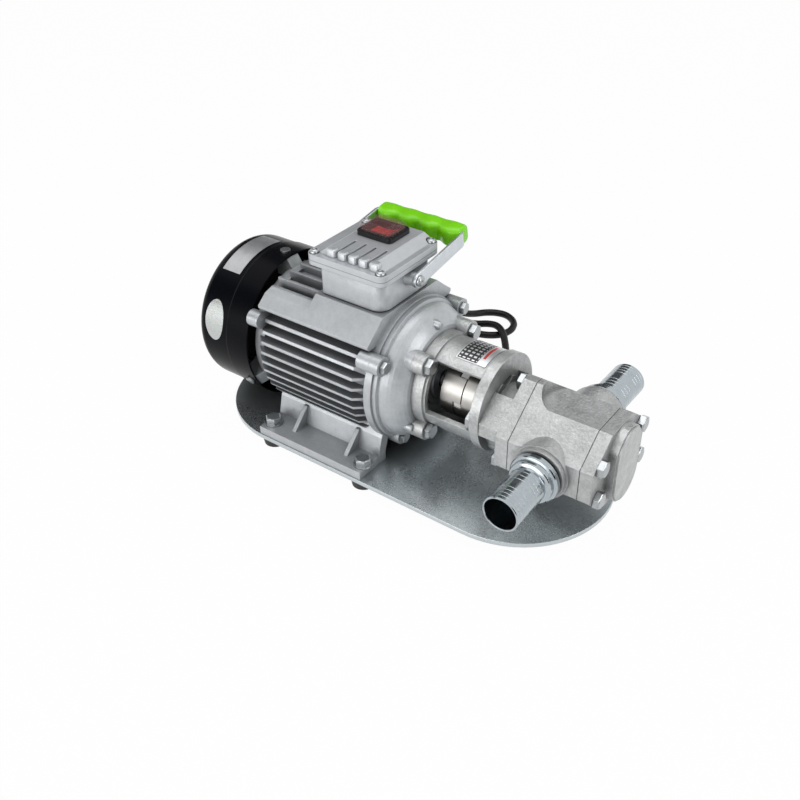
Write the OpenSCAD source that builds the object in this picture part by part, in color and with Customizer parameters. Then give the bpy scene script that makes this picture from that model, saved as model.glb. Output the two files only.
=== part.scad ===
// Portable electric gear pump on a steel base plate.
// X runs along the shaft towards the pump, Y to the far side, Z up.
// The origin lies on the floor under the middle of the machine.

/* [Base] */
// Length of the base plate, end to end
plate_len = 386; // [380:1:400]
// Width of the base plate, and of its round ends
plate_w = 170; // [168:1:180]
// Thickness of the base plate
plate_t = 4; // [3:0.5:6]
// How far the middle of the plate lies behind the motor's front seam
plate_back = 3; // [0:1:8]
// Height of a rubber foot
foot_h = 9; // [8:0.5:14]
// Radius of a rubber foot at the plate
foot_r = 12; // [11:0.5:14]

/* [Motor] */
// Height of the shaft above the base plate
shaft_h = 71; // [71:1:80]
// Length of the finned motor frame
frame_len = 130; // [126:1:140]
// Outer radius of the frame's barrel under the fins
barrel_r = 57; // [56:0.5:58]
// Bore radius of the frame
bore_r = 52.5; // [51:0.5:53]
// Radius over the tips of the fins
fin_r = 67; // [65:0.5:69]
// Radius of the frame's front flange
flange_r = 66; // [65:0.5:67]
// Thickness of the frame's front flange
flange_t = 7; // [6:0.5:9]
// Number of side fins on each flank
fin_count = 9; // [7:1:9]
// Vertical distance between two side fins
fin_pitch = 9.5; // [9:0.1:9.6]
// Thickness of a fin
fin_t = 2.6; // [2:0.1:3]
// Spacing of the foot bolts along the shaft
foot_bolt_len = 104; // [100:1:106]
// Spacing of the foot bolts across the shaft
foot_bolt_w = 144; // [140:1:146]
// Thickness of the motor's feet
foot_pad_t = 8; // [7:0.5:9]
// Outer radius of the fan cover
cover_r = 70.5; // [70:0.5:72]
// Length of the fan cover
cover_len = 67; // [64:1:72]
// Sheet thickness of the fan cover
cover_wall = 1.2; // [1:0.1:1.6]
// Length of the front end shield
shield_len = 25; // [24:0.5:30]
// Radius of the motor shaft in its bearings
shaft_r = 7.5; // [7:0.25:8]

/* [Terminal box] */
// Height of the box seat above the shaft
seat_h = 67; // [65:1:69]
// Length of the box along the shaft
box_len = 65; // [62:1:68]
// Width of the box across the shaft
box_w = 71.4; // [68:1:74]
// Height of the box from its gasket to its rim
box_h = 26.4; // [26:0.2:30]
// Length of the lid along the shaft
lid_len = 80.4; // [78:1:84]
// Width of the lid across the shaft
lid_w = 81; // [78:1:84]
// Thickness of the lid at its edge
lid_t = 9.6; // [9:0.2:12]
// Height of the raised panel on the lid
panel_h = 5.5; // [4:0.5:7]
// Length of the switch bezel
bezel_len = 36.5; // [35:0.5:38]
// Width of the switch bezel
bezel_w = 30; // [28:0.5:31]
// Tilt of the rocker to each side
rocker_tilt = 8; // [6:1:10]

/* [Handle] */
// Length of the handle's legs from pivot to bar
bail_reach = 70; // [64:1:76]
// Width of the handle strap
bail_w = 12; // [10:1:14]
// Thickness of the handle strap
bail_t = 3; // [2.5:0.25:3.5]
// Angle of the folded handle above level
bail_rest = 9; // [6:1:14]
// Height of the pivots above the shaft
pivot_h = 86.5; // [85:0.5:86.5]
// Outer size of the grip across the bar
grip_d = 19; // [17:0.5:21]

/* [Bracket] */
// Length of the bracket from the shield to the pump
bracket_len = 66; // [64:1:72]
// Outer radius of the bracket's shell
shell_r = 40.5; // [40:0.5:41]
// Wall of the bracket's shell
shell_wall = 4.5; // [3:0.5:5]
// Radius of the bracket's front flange
bracket_flange_r = 43; // [42.5:0.5:45]
// Lower edge of each window, in degrees from level
window_low = -15; // [-18:1:-15]
// Upper edge of each window, in degrees from level
window_high = 55; // [50:1:58]
// Outer radius of the shaft coupling
coupling_r = 26; // [22:0.5:26]

/* [Pump] */
// Length of the gear case between its covers
case_len = 63; // [58:1:70]
// Half width of the gear case
case_half_w = 45; // [44:0.5:48]
// Height of the case from its middle to its milled flat
case_half_h = 35.5; // [34:0.5:37]
// Height of the case from its middle to the ridge
case_ridge = 49.5; // [48:0.5:50]
// Thickness of the rear cover's flange
rear_cover_t = 11.5; // [10:0.5:13]
// Length of the neck between bracket and rear cover
neck_len = 17.5; // [16:0.5:20]
// Thickness of the front cover
front_cover_t = 11; // [9:0.5:13]
// Height of the raised face on the front cover
face_t = 8.5; // [6:0.5:10]
// Distance between the two gear shafts
gear_centres = 26.4; // [26:0.1:27]
// Number of teeth on each gear
gear_teeth = 12; // [12:1:14]
// Width of the gears
gear_w = 36; // [32:1:38]
// Radius of the gear shafts
gear_shaft_r = 7; // [6:0.25:7]

/* [Hose tails] */
// Distance from the pump's middle to the mouth of a tail
tail_reach = 107; // [100:1:112]
// Outer radius of a tail over its barbs
tail_r = 15.5; // [15:0.25:16]
// Bore radius of a tail
tail_bore_r = 12.5; // [11.5:0.25:12.5]
// Outer radius of the collar at the root of a tail
tail_collar_r = 18.9; // [18.5:0.1:20]
// Outer radius of a port boss
port_r = 22.5; // [21.5:0.5:23]
// Distance from the pump's middle to the face of a port boss
port_face = 52; // [50:0.5:53]

/* [Cord] */
// Diameter of the mains lead
cord_d = 7.5; // [7:0.5:8]

/* [Hidden] */
$fn = 72;

// Fits and common fasteners
running_gap = 0.05;
thread_gap = 0.05;
bolt_r = 4;
bolt_af = 13;
bolt_head = 5.3;
washer_r = 8.5;
washer_t = 1.6;

// Stations along the shaft, measured from the seam between frame and front shield
flange_edge = 4;
bracket_x = shield_len;
neck_x = bracket_x + bracket_len;
rear_cover_x = neck_x + neck_len;
case_x = rear_cover_x + rear_cover_t;
gasket_t = 0.5;
case_mid_x = case_x + case_len / 2;
front_cover_x = case_x + case_len;
face_x = front_cover_x + front_cover_t;
front_reach = face_x + face_t;
cover_gap = 5.5;
cover_front_x = -frame_len - cover_gap;
cover_rear_x = cover_front_x - cover_len;
seam_x = -(front_reach + cover_rear_x) / 2;
plate_top = foot_h + plate_t;
axis_z = plate_top + shaft_h;

// Places that several sub-parts share
foot_front_x = 0;
foot_pad_len = foot_bolt_len + 12;
front_bolt_x = -5.5 + foot_front_x;
foot_bolt_spots = [
    for (x = [front_bolt_x, front_bolt_x - foot_bolt_len])
        for (side = [-1, 1])
            [x, side * foot_bolt_w / 2]
];
stud_spots = [[135, -50], [135, 50]];
upper_lug = [58, 35];
lower_lug = [33, -51];
lug_r = 8.5;
shield_lug_t = 9;
shield_bolt_r = 3;
shield_bolt_af = 10;
shield_bolt_head = 4;
rear_screw_r = 2;
rear_screw_circle = 56.2;
bracket_bolt_spot = 32.5;
bracket_boss_r = 9.5;
bracket_boss_t = 11.5;
neck_bolt_y = 34;
pump_mid_z = -gear_centres / 2;
ridge_slope = 0.78;
cover_bolt_y = 34.5;
cover_bolt_rise = 15.5;
dowel_rise = case_ridge - 10;
box_x = -7 - box_len / 2;
lid_x = -43;
box_wall = 4;
gasket_top = seat_h + 0.6;
rim_z = gasket_top + box_h;
lid_gap = 0.4;
lid_z = rim_z + lid_gap + lid_t;
panel_z = lid_z + panel_h;
box_flange_t = 4;
lid_screw_x = lid_len / 2 - 5.9;
lid_screw_y = lid_w / 2 - 5.5;
lid_screw_r = 2.5;
tower_r = 5.4;
tower_drop = 0.3;
switch_x = -44.7;
switch_y = 16.5;
bezel_t = 4.5;
bezel_top = panel_z + bezel_t;
rocker_z = panel_z - 1.5;
pivot_front_x = lid_x + lid_len / 2 + 4;
pivot_rear_x = lid_x - lid_len / 2 - 4;
bail_half = (pivot_front_x - pivot_rear_x) / 2 + bail_t;
pivot_pin_r = 3;
pivot_boss_r = 7;
swing_gap = 0.3;
gland_x = -52;
gland_rise = gasket_top + 11.4;
gland_af = 19;
gland_thread_r = 6;
gland_len = 20.3;
gland_face_y = box_w / 2 + gland_len;

// Cord route in the part's own frame: from the gland, over the floor, to the coil
cord_to_coil = [
    [-52, 56, 163], [-54, 68, 162], [-59, 80, 158], [-65, 91, 149], [-70, 100, 136],
    [-74, 107, 121], [-78, 113, 104], [-81, 119, 87], [-84, 127, 70], [-86, 137, 54],
    [-88, 150, 40], [-88.5, 164, 30], [-88, 178, 23], [-86.5, 191, 18], [-84, 202, 13],
    [-81, 212, 8], [-77.5, 221.5, 4.7], [-70.5, 230.5, 4], [-61, 236.5, 4], [-50, 238.5, 4],
    [-39.5, 234.5, 4], [-31.5, 226, 4], [-28.5, 214, 4], [-31.5, 202.5, 4], [-39.5, 194, 4],
    [-51, 188.5, 4], [-66, 185.5, 4], [-82, 184.5, 4], [-100, 184.8, 4], [-125, 185.7, 4],
    [-150, 185.8, 4]
];
// Cord route from the coil, across the first strands, to the plug
cord_to_plug = [
    [-127.1, 100.3, 11.6], [-116.9, 106.2, 11.6], [-105.8, 113.2, 11.7], [-98.3, 122.6, 11.9],
    [-94.8, 134.5, 12.1], [-94, 147, 12.3], [-94, 160, 12.4], [-93.6, 172, 12.4],
    [-90.3, 182.5, 12.3], [-83.5, 190.3, 10.2], [-74, 196, 7.2], [-62.5, 200.3, 7.2],
    [-50.5, 203, 10], [-39, 201.5, 12.4], [-28, 195.5, 11.6], [-18, 185, 7.5], [-8, 171, 4],
    [0, 157, 4], [7, 144, 5], [14.5, 132, 7], [23.5, 122.5, 9], [33.5, 117.4, 10], [44, 115.6, 10]
];
coil_centre = [-150, 140];
coil_mid_r = 42;

// An outline with straight sides and a half circle at each end
function stadium(length, width, steps) =
    let (r = width / 2, c = length / 2 - r)
    concat(
        [for (i = [0:steps]) [c + r * sin(180 * i / steps), -r * cos(180 * i / steps)]],
        [for (i = [0:steps]) [-c - r * sin(180 * i / steps), r * cos(180 * i / steps)]]
    );

// A rectangle with rounded corners about the origin
function round_box(length, width, r, steps = 6) =
    [
        for (q = [0:3])
            for (i = [0:steps])
                let (a = 90 * q + 90 * i / steps,
                     cx = (q == 0 || q == 3) ? length / 2 - r : r - length / 2,
                     cy = (q < 2) ? width / 2 - r : r - width / 2)
                [cx + r * cos(a), cy + r * sin(a)]
    ];

// A quarter arc from one radius towards the next, as points of a turned profile
function quarter(centre, r, from, to, steps = 14) =
    [for (i = [0:steps]) let (a = from + (to - from) * i / steps) centre + r * [cos(a), sin(a)]];

// The cross-section of the pump: a ridged diamond cut off at its sides
function pump_outline() =
    let (top = case_ridge, side = top - ridge_slope * case_half_w, tip = 4, w = case_half_w)
    [
        [tip, pump_mid_z + top - ridge_slope * tip], [w, pump_mid_z + side],
        [w, pump_mid_z - side], [tip, pump_mid_z - top + ridge_slope * tip],
        [-tip, pump_mid_z - top + ridge_slope * tip], [-w, pump_mid_z - side],
        [-w, pump_mid_z + side], [-tip, pump_mid_z + top - ridge_slope * tip]
    ];

// Gear geometry: involute flanks with a little backlash
pressure_angle = 25;
backlash = 0.3;
gear_pitch_r = gear_centres / 2;
gear_module = gear_centres / gear_teeth;
gear_tip_r = gear_pitch_r + gear_module;
gear_root_r = gear_pitch_r - 1.25 * gear_module;
gear_base_r = gear_pitch_r * cos(pressure_angle);
chamber_gap = 0.1;
chamber_r = gear_tip_r + chamber_gap;
function involute(a) = tan(a) * 180 / PI - a;
function tooth_half(r) =
    let (a = (r > gear_base_r) ? acos(gear_base_r / r) : 0)
    90 / gear_teeth - backlash / 4 / gear_pitch_r * 180 / PI
        + involute(pressure_angle) - involute(a);
function gear_outline() =
    let (flank = 5, low = max(gear_base_r, gear_root_r) + 0.01)
    [
        for (t = [0:gear_teeth - 1])
            let (mid = 360 * t / gear_teeth)
            for (p = concat(
                [[gear_root_r, mid - tooth_half(low)]],
                [for (i = [0:flank]) let (r = low + (gear_tip_r - low) * i / flank)
                    [r, mid - tooth_half(r)]],
                [for (i = [flank:-1:0]) let (r = low + (gear_tip_r - low) * i / flank)
                    [r, mid + tooth_half(r)]],
                [[gear_root_r, mid + tooth_half(low)]]))
                p[0] * [cos(p[1]), sin(p[1])]
    ];

// Cord sweep: one ring of points at each point of the route
cord_sides = 10;
ring_guide = [1, 1, 1.4];
function unit(v) = v / norm(v);
function heading(path, i) = unit(path[min(i + 1, len(path) - 1)] - path[max(i - 1, 0)]);
function ring(path, i) =
    let (t = heading(path, i), u = unit(cross(t, ring_guide)), v = cross(t, u))
    [
        for (k = [0:cord_sides - 1])
            let (a = 360 * k / cord_sides)
            path[i] + cord_d / 2 * (cos(a) * u + sin(a) * v)
    ];

// Draws its children about the shaft, with X measured from the front seam
module in_place() {
    translate([seam_x, 0, axis_z]) children();
}

module rod_x(from, to, r) {
    translate([from, 0, 0]) rotate([0, 90, 0]) cylinder(h = to - from, r = r);
}

module rod_y(from, to, r) {
    translate([0, from, 0]) rotate([-90, 0, 0]) cylinder(h = to - from, r = r);
}

// Extrudes an outline drawn across the shaft, in Y and Z
module section(from, to) {
    translate([from, 0, 0]) rotate([90, 0, 90]) linear_extrude(to - from) children();
}

// Extrudes an outline drawn along the shaft, in X and Z
module side_view(from, to) {
    translate([0, to, 0]) rotate([90, 0, 0]) linear_extrude(to - from) children();
}

// Turns a profile of radius and station about the shaft
module turned() {
    rotate([0, 90, 0]) rotate_extrude() children();
}

// Carries its children to an angle about the shaft, measured from +Y towards +Z
module around(a, r = 0) {
    rotate([a, 0, 0]) translate([0, r, 0]) children();
}

module block(x, y, z) {
    translate([x[0], y[0], z[0]]) cube([x[1] - x[0], y[1] - y[0], z[1] - z[0]]);
}

module hex_x(from, to, flats) {
    translate([from, 0, 0]) rotate([0, 90, 0]) cylinder(h = to - from, r = flats / sqrt(3), $fn = 6);
}

// A hex bolt whose head stands on the plane x = seat, with its shank towards -X
module bolt_back(seat, grip) {
    hex_x(seat, seat + bolt_head, bolt_af);
    rod_x(seat - grip, seat + 1, bolt_r);
}

// A hex bolt whose head stands on the plane x = seat, with its shank towards +X
module bolt_forward(seat, grip) {
    hex_x(seat - bolt_head, seat, bolt_af);
    rod_x(seat - 1, seat + grip, bolt_r);
}

module base_plate() {
    color("slategray") difference() {
        translate([seam_x - plate_back, 0, foot_h])
            linear_extrude(plate_t) polygon(stadium(plate_len, plate_w, 36));
        for (p = foot_bolt_spots)
            translate([seam_x + p[0], p[1], 0]) cylinder(h = 40, r = bolt_r + 0.5);
    }
}

module rubber_foot(bore) {
    difference() {
        cylinder(h = foot_h, r1 = foot_r - 1.5, r2 = foot_r);
        translate([0, 0, -1]) cylinder(h = foot_h + 2, r = bore);
        translate([0, 0, -1]) cylinder(h = nut_recess + 1, r = nut_af / sqrt(3) + 0.3);
    }
}
nut_recess = 5;
nut_t = 4;
nut_af = 13;

module rubber_feet() {
    color("black") {
        for (p = foot_bolt_spots)
            translate([seam_x + p[0], p[1], 0]) rubber_foot(bolt_r + thread_gap);
        for (p = stud_spots)
            translate([seam_x + p[0], p[1], 0]) rubber_foot(bolt_r + thread_gap);
    }
}

module foot_bolts() {
    pad_top = plate_top + foot_pad_t;
    color("gainsboro")
        for (p = foot_bolt_spots)
            translate([seam_x + p[0], p[1], 0]) {
                translate([0, 0, pad_top]) cylinder(h = washer_t, r = washer_r);
                translate([0, 0, pad_top + washer_t])
                    cylinder(h = bolt_head, r = bolt_af / sqrt(3), $fn = 6);
                translate([0, 0, 1]) cylinder(h = pad_top, r = bolt_r);
            }
}

module foot_nuts() {
    color("gainsboro")
        for (p = foot_bolt_spots)
            translate([seam_x + p[0], p[1], nut_recess - nut_t]) difference() {
                cylinder(h = nut_t, r = nut_af / sqrt(3), $fn = 6);
                translate([0, 0, -1]) cylinder(h = nut_t + 2, r = bolt_r + thread_gap);
            }
}

module foot_studs() {
    color("gainsboro")
        for (p = stud_spots)
            translate([seam_x + p[0], p[1], 0]) {
                translate([0, 0, nut_recess - nut_t]) cylinder(h = nut_t, r = nut_af / sqrt(3), $fn = 6);
                translate([0, 0, 1]) cylinder(h = foot_h - 1, r = bolt_r);
            }
}

// Horizontal fins on both flanks and upright fins behind the terminal box
module frame_fins() {
    back = -frame_len + 1;
    front = -flange_t - 3;
    first_fin = 34.5;
    intersection() {
        turned() polygon([
            [0, back], [barrel_r + 3, back], [fin_r, back + 8],
            [fin_r, front - 9], [barrel_r + 3, front], [0, front]
        ]);
        for (i = [0:fin_count - 1])
            for (side = [-1, 1])
                translate([back, side > 0 ? 34 : -fin_r - 1, first_fin - i * fin_pitch - fin_t / 2])
                    cube([front - back, fin_r + 1 - 34, fin_t]);
    }
    for (i = [-2:2])
        block([back + 3, -76], [i * 15 - fin_t / 2, i * 15 + fin_t / 2], [44, seat_h - 3]);
}

// The cast shoulder that carries the terminal box
module box_shoulder() {
    for (side = [-1, 1])
        section(-frame_len + 5, -5) polygon([
            [side * 32, 45], [side * 58, 45], [side * 60, 47], [side * 60, 49.5],
            [side * 50, 57.5], [side * 41, 60], [side * 38, 60], [side * 36, 50]
        ]);
    section(-76, -5) polygon([
        [-36, 44], [-58, 46], [-60, 47], [-60, 49.5], [-50, 57.5], [-39, seat_h],
        [39, seat_h], [50, 57.5], [60, 49.5], [60, 47], [58, 46], [36, 44]
    ]);
}

// One foot with its web and gussets; side is -1 for the near side
module frame_foot(side) {
    base = -shaft_h;
    pad = base + foot_pad_t;
    edge = plate_w / 2 - 1;
    section(foot_front_x - foot_pad_len, foot_front_x) polygon([
        [side * edge, base], [side * edge, pad], [side * 56.5, pad], [side * 52, -46],
        [side * 46, -33], [side * 36, -40], [side * 43, -50], [side * 47, pad], [side * 47, base]
    ]);
    for (x = [front_bolt_x - 19.5, front_bolt_x - foot_bolt_len + 24.5])
        section(x - 2, x + 2) polygon([
            [side * 73, pad - 0.5], [side * 54, -45], [side * 49, -45], [side * 49, pad - 0.5]
        ]);
}

module frame_lugs(side) {
    translate([0, side * upper_lug[0], upper_lug[1]]) rod_x(-13, 0, lug_r);
    translate([0, side * (upper_lug[0] + 2), upper_lug[1]]) rod_x(-frame_len - 4, -frame_len + 8, lug_r - 1);
    block([-frame_len, -frame_len + 8], side > 0 ? [44, 60] : [-60, -44], [29, 41]);
    translate([0, side * lower_lug[0], lower_lug[1]]) rod_x(-13, 0, lug_r - 1);
}

module motor_frame() {
    color("silver") in_place() difference() {
        union() {
            rod_x(-frame_len, -flange_t + 1, barrel_r);
            rod_x(-flange_t, 0, flange_r);
            rod_x(-frame_len, -frame_len + 6, barrel_r + 3);
            frame_fins();
            box_shoulder();
            for (side = [-1, 1]) {
                frame_foot(side);
                frame_lugs(side);
            }
        }
        rod_x(-frame_len - 5, 1, bore_r);
        for (side = [-1, 1]) {
            for (lug = [upper_lug, lower_lug])
                translate([0, side * lug[0], lug[1]]) rod_x(-12, 1, shield_bolt_r + thread_gap);
        }
        for (p = foot_bolt_spots)
            translate([p[0], p[1], -shaft_h - 1]) cylinder(h = foot_pad_t + 2, r = bolt_r + 0.5);
        for (a = [45:90:315])
            around(a, rear_screw_circle) rod_x(-frame_len - 1, -frame_len + 5.5, rear_screw_r + thread_gap);
        translate([box_x, 0, 40]) cylinder(h = 40, r = 12);
    }
}

// Stator, rotor and bearings
core_rear_x = -frame_len + 35;
core_front_x = -25;
core_bore_r = 28.3;
air_gap = 0.5;
slot_count = 18;
slot_w = 5;
slot_in_r = 30.5;
slot_out_r = 44.5;
rotor_r = core_bore_r - air_gap;
rotor_seat_r = 9;
bearing_r = 17.5;
bearing_w = 11;
front_bearing_x = 8;
rear_bearing_x = -frame_len - 18;
fan_front_x = rear_bearing_x - 10;
fan_rear_x = fan_front_x - 20;
fan_blade_t = 2.5;
fan_tip_gap = cover_wall + 11.5;
shaft_step_x = bracket_x + 8;
coupling_bore_r = 7;
fan_seat_r = 7;

module stator_core() {
    color("dimgray") in_place() difference() {
        rod_x(core_rear_x, core_front_x, bore_r);
        rod_x(core_rear_x - 1, core_front_x + 1, core_bore_r);
        for (i = [0:slot_count - 1])
            around(360 * i / slot_count)
                block([core_rear_x - 1, core_front_x + 1], [slot_in_r, slot_out_r], [-slot_w / 2, slot_w / 2]);
    }
}

module stator_windings() {
    inner = slot_in_r + 0.5;
    outer = slot_out_r - 0.3;
    half = slot_w / 2 - 0.2;
    color("peru") in_place() union() {
        for (x = [core_rear_x - 13, core_front_x])
            turned() polygon([
                [inner, x], [outer, x], [outer + 1.5, x + 4], [outer + 1.5, x + 9],
                [outer, x + 13], [inner, x + 13], [inner - 0.5, x + 9], [inner - 0.5, x + 4]
            ]);
        for (i = [0:slot_count - 1])
            around(360 * i / slot_count)
                block([core_rear_x - 1, core_front_x + 1], [inner, outer], [-half, half]);
    }
}

module rotor_core() {
    color("gray") in_place() difference() {
        union() {
            rod_x(core_rear_x, core_front_x, rotor_r);
            rod_x(core_rear_x - 6, core_rear_x + 1, rotor_r - 1.5);
            rod_x(core_front_x - 1, core_front_x + 6, rotor_r - 1.5);
        }
        rod_x(core_rear_x - 7, core_front_x + 7, rotor_seat_r);
    }
}

module motor_shaft() {
    color("lightgray") in_place() union() {
        rod_x(fan_rear_x - 4, rear_bearing_x - 4, fan_seat_r);
        rod_x(rear_bearing_x - 4, shaft_step_x, shaft_r);
        rod_x(core_rear_x - 6, core_front_x + 6, rotor_seat_r);
        rod_x(shaft_step_x, coupling_rear_x + 13, coupling_bore_r);
    }
}

module bearing(from) {
    groove = 3.2;
    mid = from + bearing_w / 2;
    difference() {
        rod_x(from, from + bearing_w, bearing_r);
        rod_x(from - 1, from + bearing_w + 1, shaft_r + running_gap);
        for (end = [from - 1, from + bearing_w - 1])
            difference() {
                rod_x(end, end + 2, 15);
                rod_x(end - 1, end + 3, 10.5);
            }
        turned() translate([12.7, mid]) circle(r = groove);
    }
    for (i = [0:7])
        around(45 * i, 12.7) translate([mid, 0, 0]) sphere(r = groove - 0.3);
}

module front_bearing() {
    color("silver") in_place() bearing(front_bearing_x);
}

module rear_bearing() {
    color("silver") in_place() bearing(rear_bearing_x);
}

module rear_shield() {
    hub = rear_bearing_x;
    spigot = bore_r - thread_gap;
    ear = cover_r - cover_wall;
    ear_rear = cover_screw_x - 5.5;
    color("silver") in_place() difference() {
        union() {
            turned() polygon([
                [shaft_r + 1, hub - 2], [20, hub - 2], [23, hub + 1], [24, -frame_len - 6],
                [58.5, -frame_len - 6], [60, -frame_len - 4.5], [60, -frame_len],
                [spigot, -frame_len], [spigot, -frame_len + 4], [48, -frame_len + 4],
                [46, -frame_len], [bearing_r, -frame_len], [bearing_r, hub], [shaft_r + 1, hub]
            ]);
            intersection() {
                turned() polygon([
                    [50, ear_rear], [ear, ear_rear], [ear, cover_front_x - 1.5],
                    [59, -frame_len - 0.5], [50, -frame_len - 1]
                ]);
                for (a = cover_screw_angles)
                    around(a) block([ear_rear - 1, -frame_len], [50, cover_r], [-7, 7]);
            }
        }
        for (a = [45:90:315])
            around(a, rear_screw_circle) rod_x(-frame_len - 8, -frame_len + 8, rear_screw_r + thread_gap);
        for (a = cover_screw_angles)
            around(a) translate([cover_screw_x, 0, 0]) rod_y(59, cover_r + 1, rear_screw_r + thread_gap);
    }
}
cover_screw_angles = [90, 210, 330];
cover_screw_x = cover_front_x - 9;

module front_shield() {
    spigot = bore_r - thread_gap;
    cap = shield_len;
    color("silver") in_place() difference() {
        union() {
            turned() polygon([
                [shaft_r + 1, cap + 5], [17, cap + 5], [18, cap + 4], [18, cap + 2.5],
                [23.5, cap + 2.5], [24, cap + 2], [24, cap], [44, cap],
                [47, cap - 0.6], [50, cap - 2.4], [53, cap - 5], [55.5, cap - 7.5],
                [57.7, cap - 10.4], [59.4, cap - 13.4], [60.6, cap - 16.4], [61.2, 6],
                [61.2, flange_edge + 0.6], [64, flange_edge], [64, 0], [spigot, 0],
                [spigot, -4], [48, -4], [48, 6], [45, 13], [40, cap - 7], [22, cap - 7],
                [22, front_bearing_x], [bearing_r, front_bearing_x],
                [bearing_r, front_bearing_x + bearing_w], [shaft_r + 1, front_bearing_x + bearing_w]
            ]);
            for (y = [-1, 1])
                for (z = [-1, 1])
                    translate([0, y * bracket_bolt_spot, z * bracket_bolt_spot])
                        rod_x(8, cap, bracket_boss_r);
            for (a = [90, 324, 216])
                around(a, 51) rod_x(10.5, cap - 4.5, 4);
            for (side = [-1, 1]) {
                translate([0, side * upper_lug[0], upper_lug[1]]) rod_x(0, shield_lug_t, lug_r);
                translate([0, side * lower_lug[0], lower_lug[1]]) rod_x(0, shield_lug_t, lug_r - 1);
            }
        }
        for (side = [-1, 1])
            for (lug = [upper_lug, lower_lug])
                translate([0, side * lug[0], lug[1]]) {
                    rod_x(-1, shield_lug_t + 1, shield_bolt_r + thread_gap);
                    rod_x(shield_lug_t, shield_lug_t + 20, lug_r - 1.8);
                }
        for (y = [-1, 1])
            for (z = [-1, 1])
                translate([0, y * bracket_bolt_spot, z * bracket_bolt_spot])
                    rod_x(9.5, cap + 1, bolt_r + thread_gap);
    }
}

module shield_bolts() {
    color("gainsboro") in_place() {
        for (side = [-1, 1])
            for (lug = [upper_lug, lower_lug])
                translate([0, side * lug[0], lug[1]]) {
                    hex_x(shield_lug_t, shield_lug_t + shield_bolt_head, shield_bolt_af);
                    rod_x(-11, shield_lug_t + 1, shield_bolt_r);
                }
        for (a = [45:90:315])
            around(a, rear_screw_circle) {
                rod_x(-frame_len - 9, -frame_len - 6, 3.5);
                rod_x(-frame_len - 7, -frame_len + 5, rear_screw_r);
            }
    }
}

module fan_cover() {
    step = cover_front_x - 25.5;
    rim = cover_rear_x + 13.5;
    r = cover_r;
    rear_r = r - 0.9;
    t = cover_wall;
    slot = 4.5;
    hub = 9;
    color("black") in_place() difference() {
        turned() polygon(concat(
            [[r, cover_front_x], [r, step + 0.8], [rear_r, step - 0.8], [rear_r, rim]],
            quarter([rear_r - 11, rim], 11, 0, -70, 8),
            [[40, cover_rear_x + 0.7], [hub, cover_rear_x], [0, cover_rear_x]],
            [[0, cover_rear_x + t], [hub, cover_rear_x + t], [40, cover_rear_x + 0.7 + t]],
            quarter([rear_r - 11, rim], 11 - t, -70, 0, 8),
            [[rear_r - t, step - 0.8], [r - t, step + 0.8], [r - t, cover_front_x]]
        ));
        difference() {
            for (i = [1:5])
                difference() {
                    rod_x(cover_rear_x - 1, cover_rear_x + 6, 8.5 * i + slot + 3);
                    rod_x(cover_rear_x - 2, cover_rear_x + 7, 8.5 * i + 3);
                }
            for (a = [0:60:120])
                around(a) block([cover_rear_x - 3, cover_rear_x + 8], [-60, 60], [-2, 2]);
        }
        for (a = cover_screw_angles)
            around(a) translate([cover_screw_x, 0, 0])
                rod_y(cover_r - 3, cover_r + 1, rear_screw_r + thread_gap);
    }
}

module fan_cover_screws() {
    color("gainsboro") in_place()
        for (a = cover_screw_angles)
            around(a) translate([cover_screw_x, 0, 0]) {
                rod_y(cover_r, cover_r + 2.2, 4.5);
                rod_y(60, cover_r + 1, rear_screw_r);
            }
}

module cooling_fan() {
    back = fan_rear_x;
    front = fan_front_x;
    tip_r = cover_r - fan_tip_gap;
    color("darkslategray") in_place() difference() {
        union() {
            rod_x(back, front, 14);
            rod_x(front - 3, front, tip_r - 5);
            for (i = [0:7])
                around(45 * i)
                    block([back, front - 1], [10, tip_r], [-fan_blade_t / 2, fan_blade_t / 2]);
        }
        rod_x(back - 1, front + 1, fan_seat_r);
    }
}

// Terminal box
module terminal_box() {
    floor_z = gasket_top + box_wall;
    color("silver") in_place() difference() {
        union() {
            translate([box_x, 0, gasket_top]) linear_extrude(box_h) polygon(round_box(box_len, box_w, 12));
            rod_at_pivot(box_x, pivot_front_x - swing_gap);
            rod_at_pivot(pivot_rear_x + swing_gap, box_x);
            for (x = [-1, 1])
                for (y = [-1, 1])
                    translate([lid_x + x * lid_screw_x, y * lid_screw_y, rim_z - 12])
                        linear_extrude(12 - tower_drop) union() {
                            circle(r = tower_r);
                            rotate([0, 0, atan2(-y, -x)]) translate([0, 1 - tower_r])
                                square([20, 2 * tower_r - 2]);
                        }
        }
        translate([box_x, 0, floor_z])
            linear_extrude(box_h) polygon(round_box(box_len - 2 * box_wall, box_w - 2 * box_wall, 8));
        translate([box_x, 0, gasket_top - 1]) cylinder(h = box_wall + 2, r = 10);
        for (x = [-1, 1])
            for (y = [-1, 1])
                translate([lid_x + x * lid_screw_x, y * lid_screw_y, rim_z - 9])
                    cylinder(h = 10, r = lid_screw_r + thread_gap);
        for (x = [pivot_front_x, pivot_rear_x])
            translate([0, 0, pivot_h]) rod_x(x - 9, x + 9, pivot_pin_r + thread_gap);
        translate([gland_x, 0, gland_rise])
            rod_y(box_w / 2 - box_wall - 1, box_w / 2 + 1, gland_thread_r + thread_gap);
    }
}
module rod_at_pivot(from, to) {
    translate([0, 0, pivot_h]) rod_x(from, to, pivot_boss_r);
}

module box_gasket() {
    color("black") in_place() {
        translate([box_x, 0, seat_h]) linear_extrude(gasket_top - seat_h) difference() {
            polygon(round_box(box_len - 1, box_w - 1, 11));
            circle(r = 14);
        }
        translate([box_x, 0, rim_z]) linear_extrude(lid_gap) difference() {
            polygon(round_box(box_len - 1, box_w - 1, 11.5));
            polygon(round_box(box_len - 7, box_w - 7, 8.5));
        }
    }
}

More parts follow.
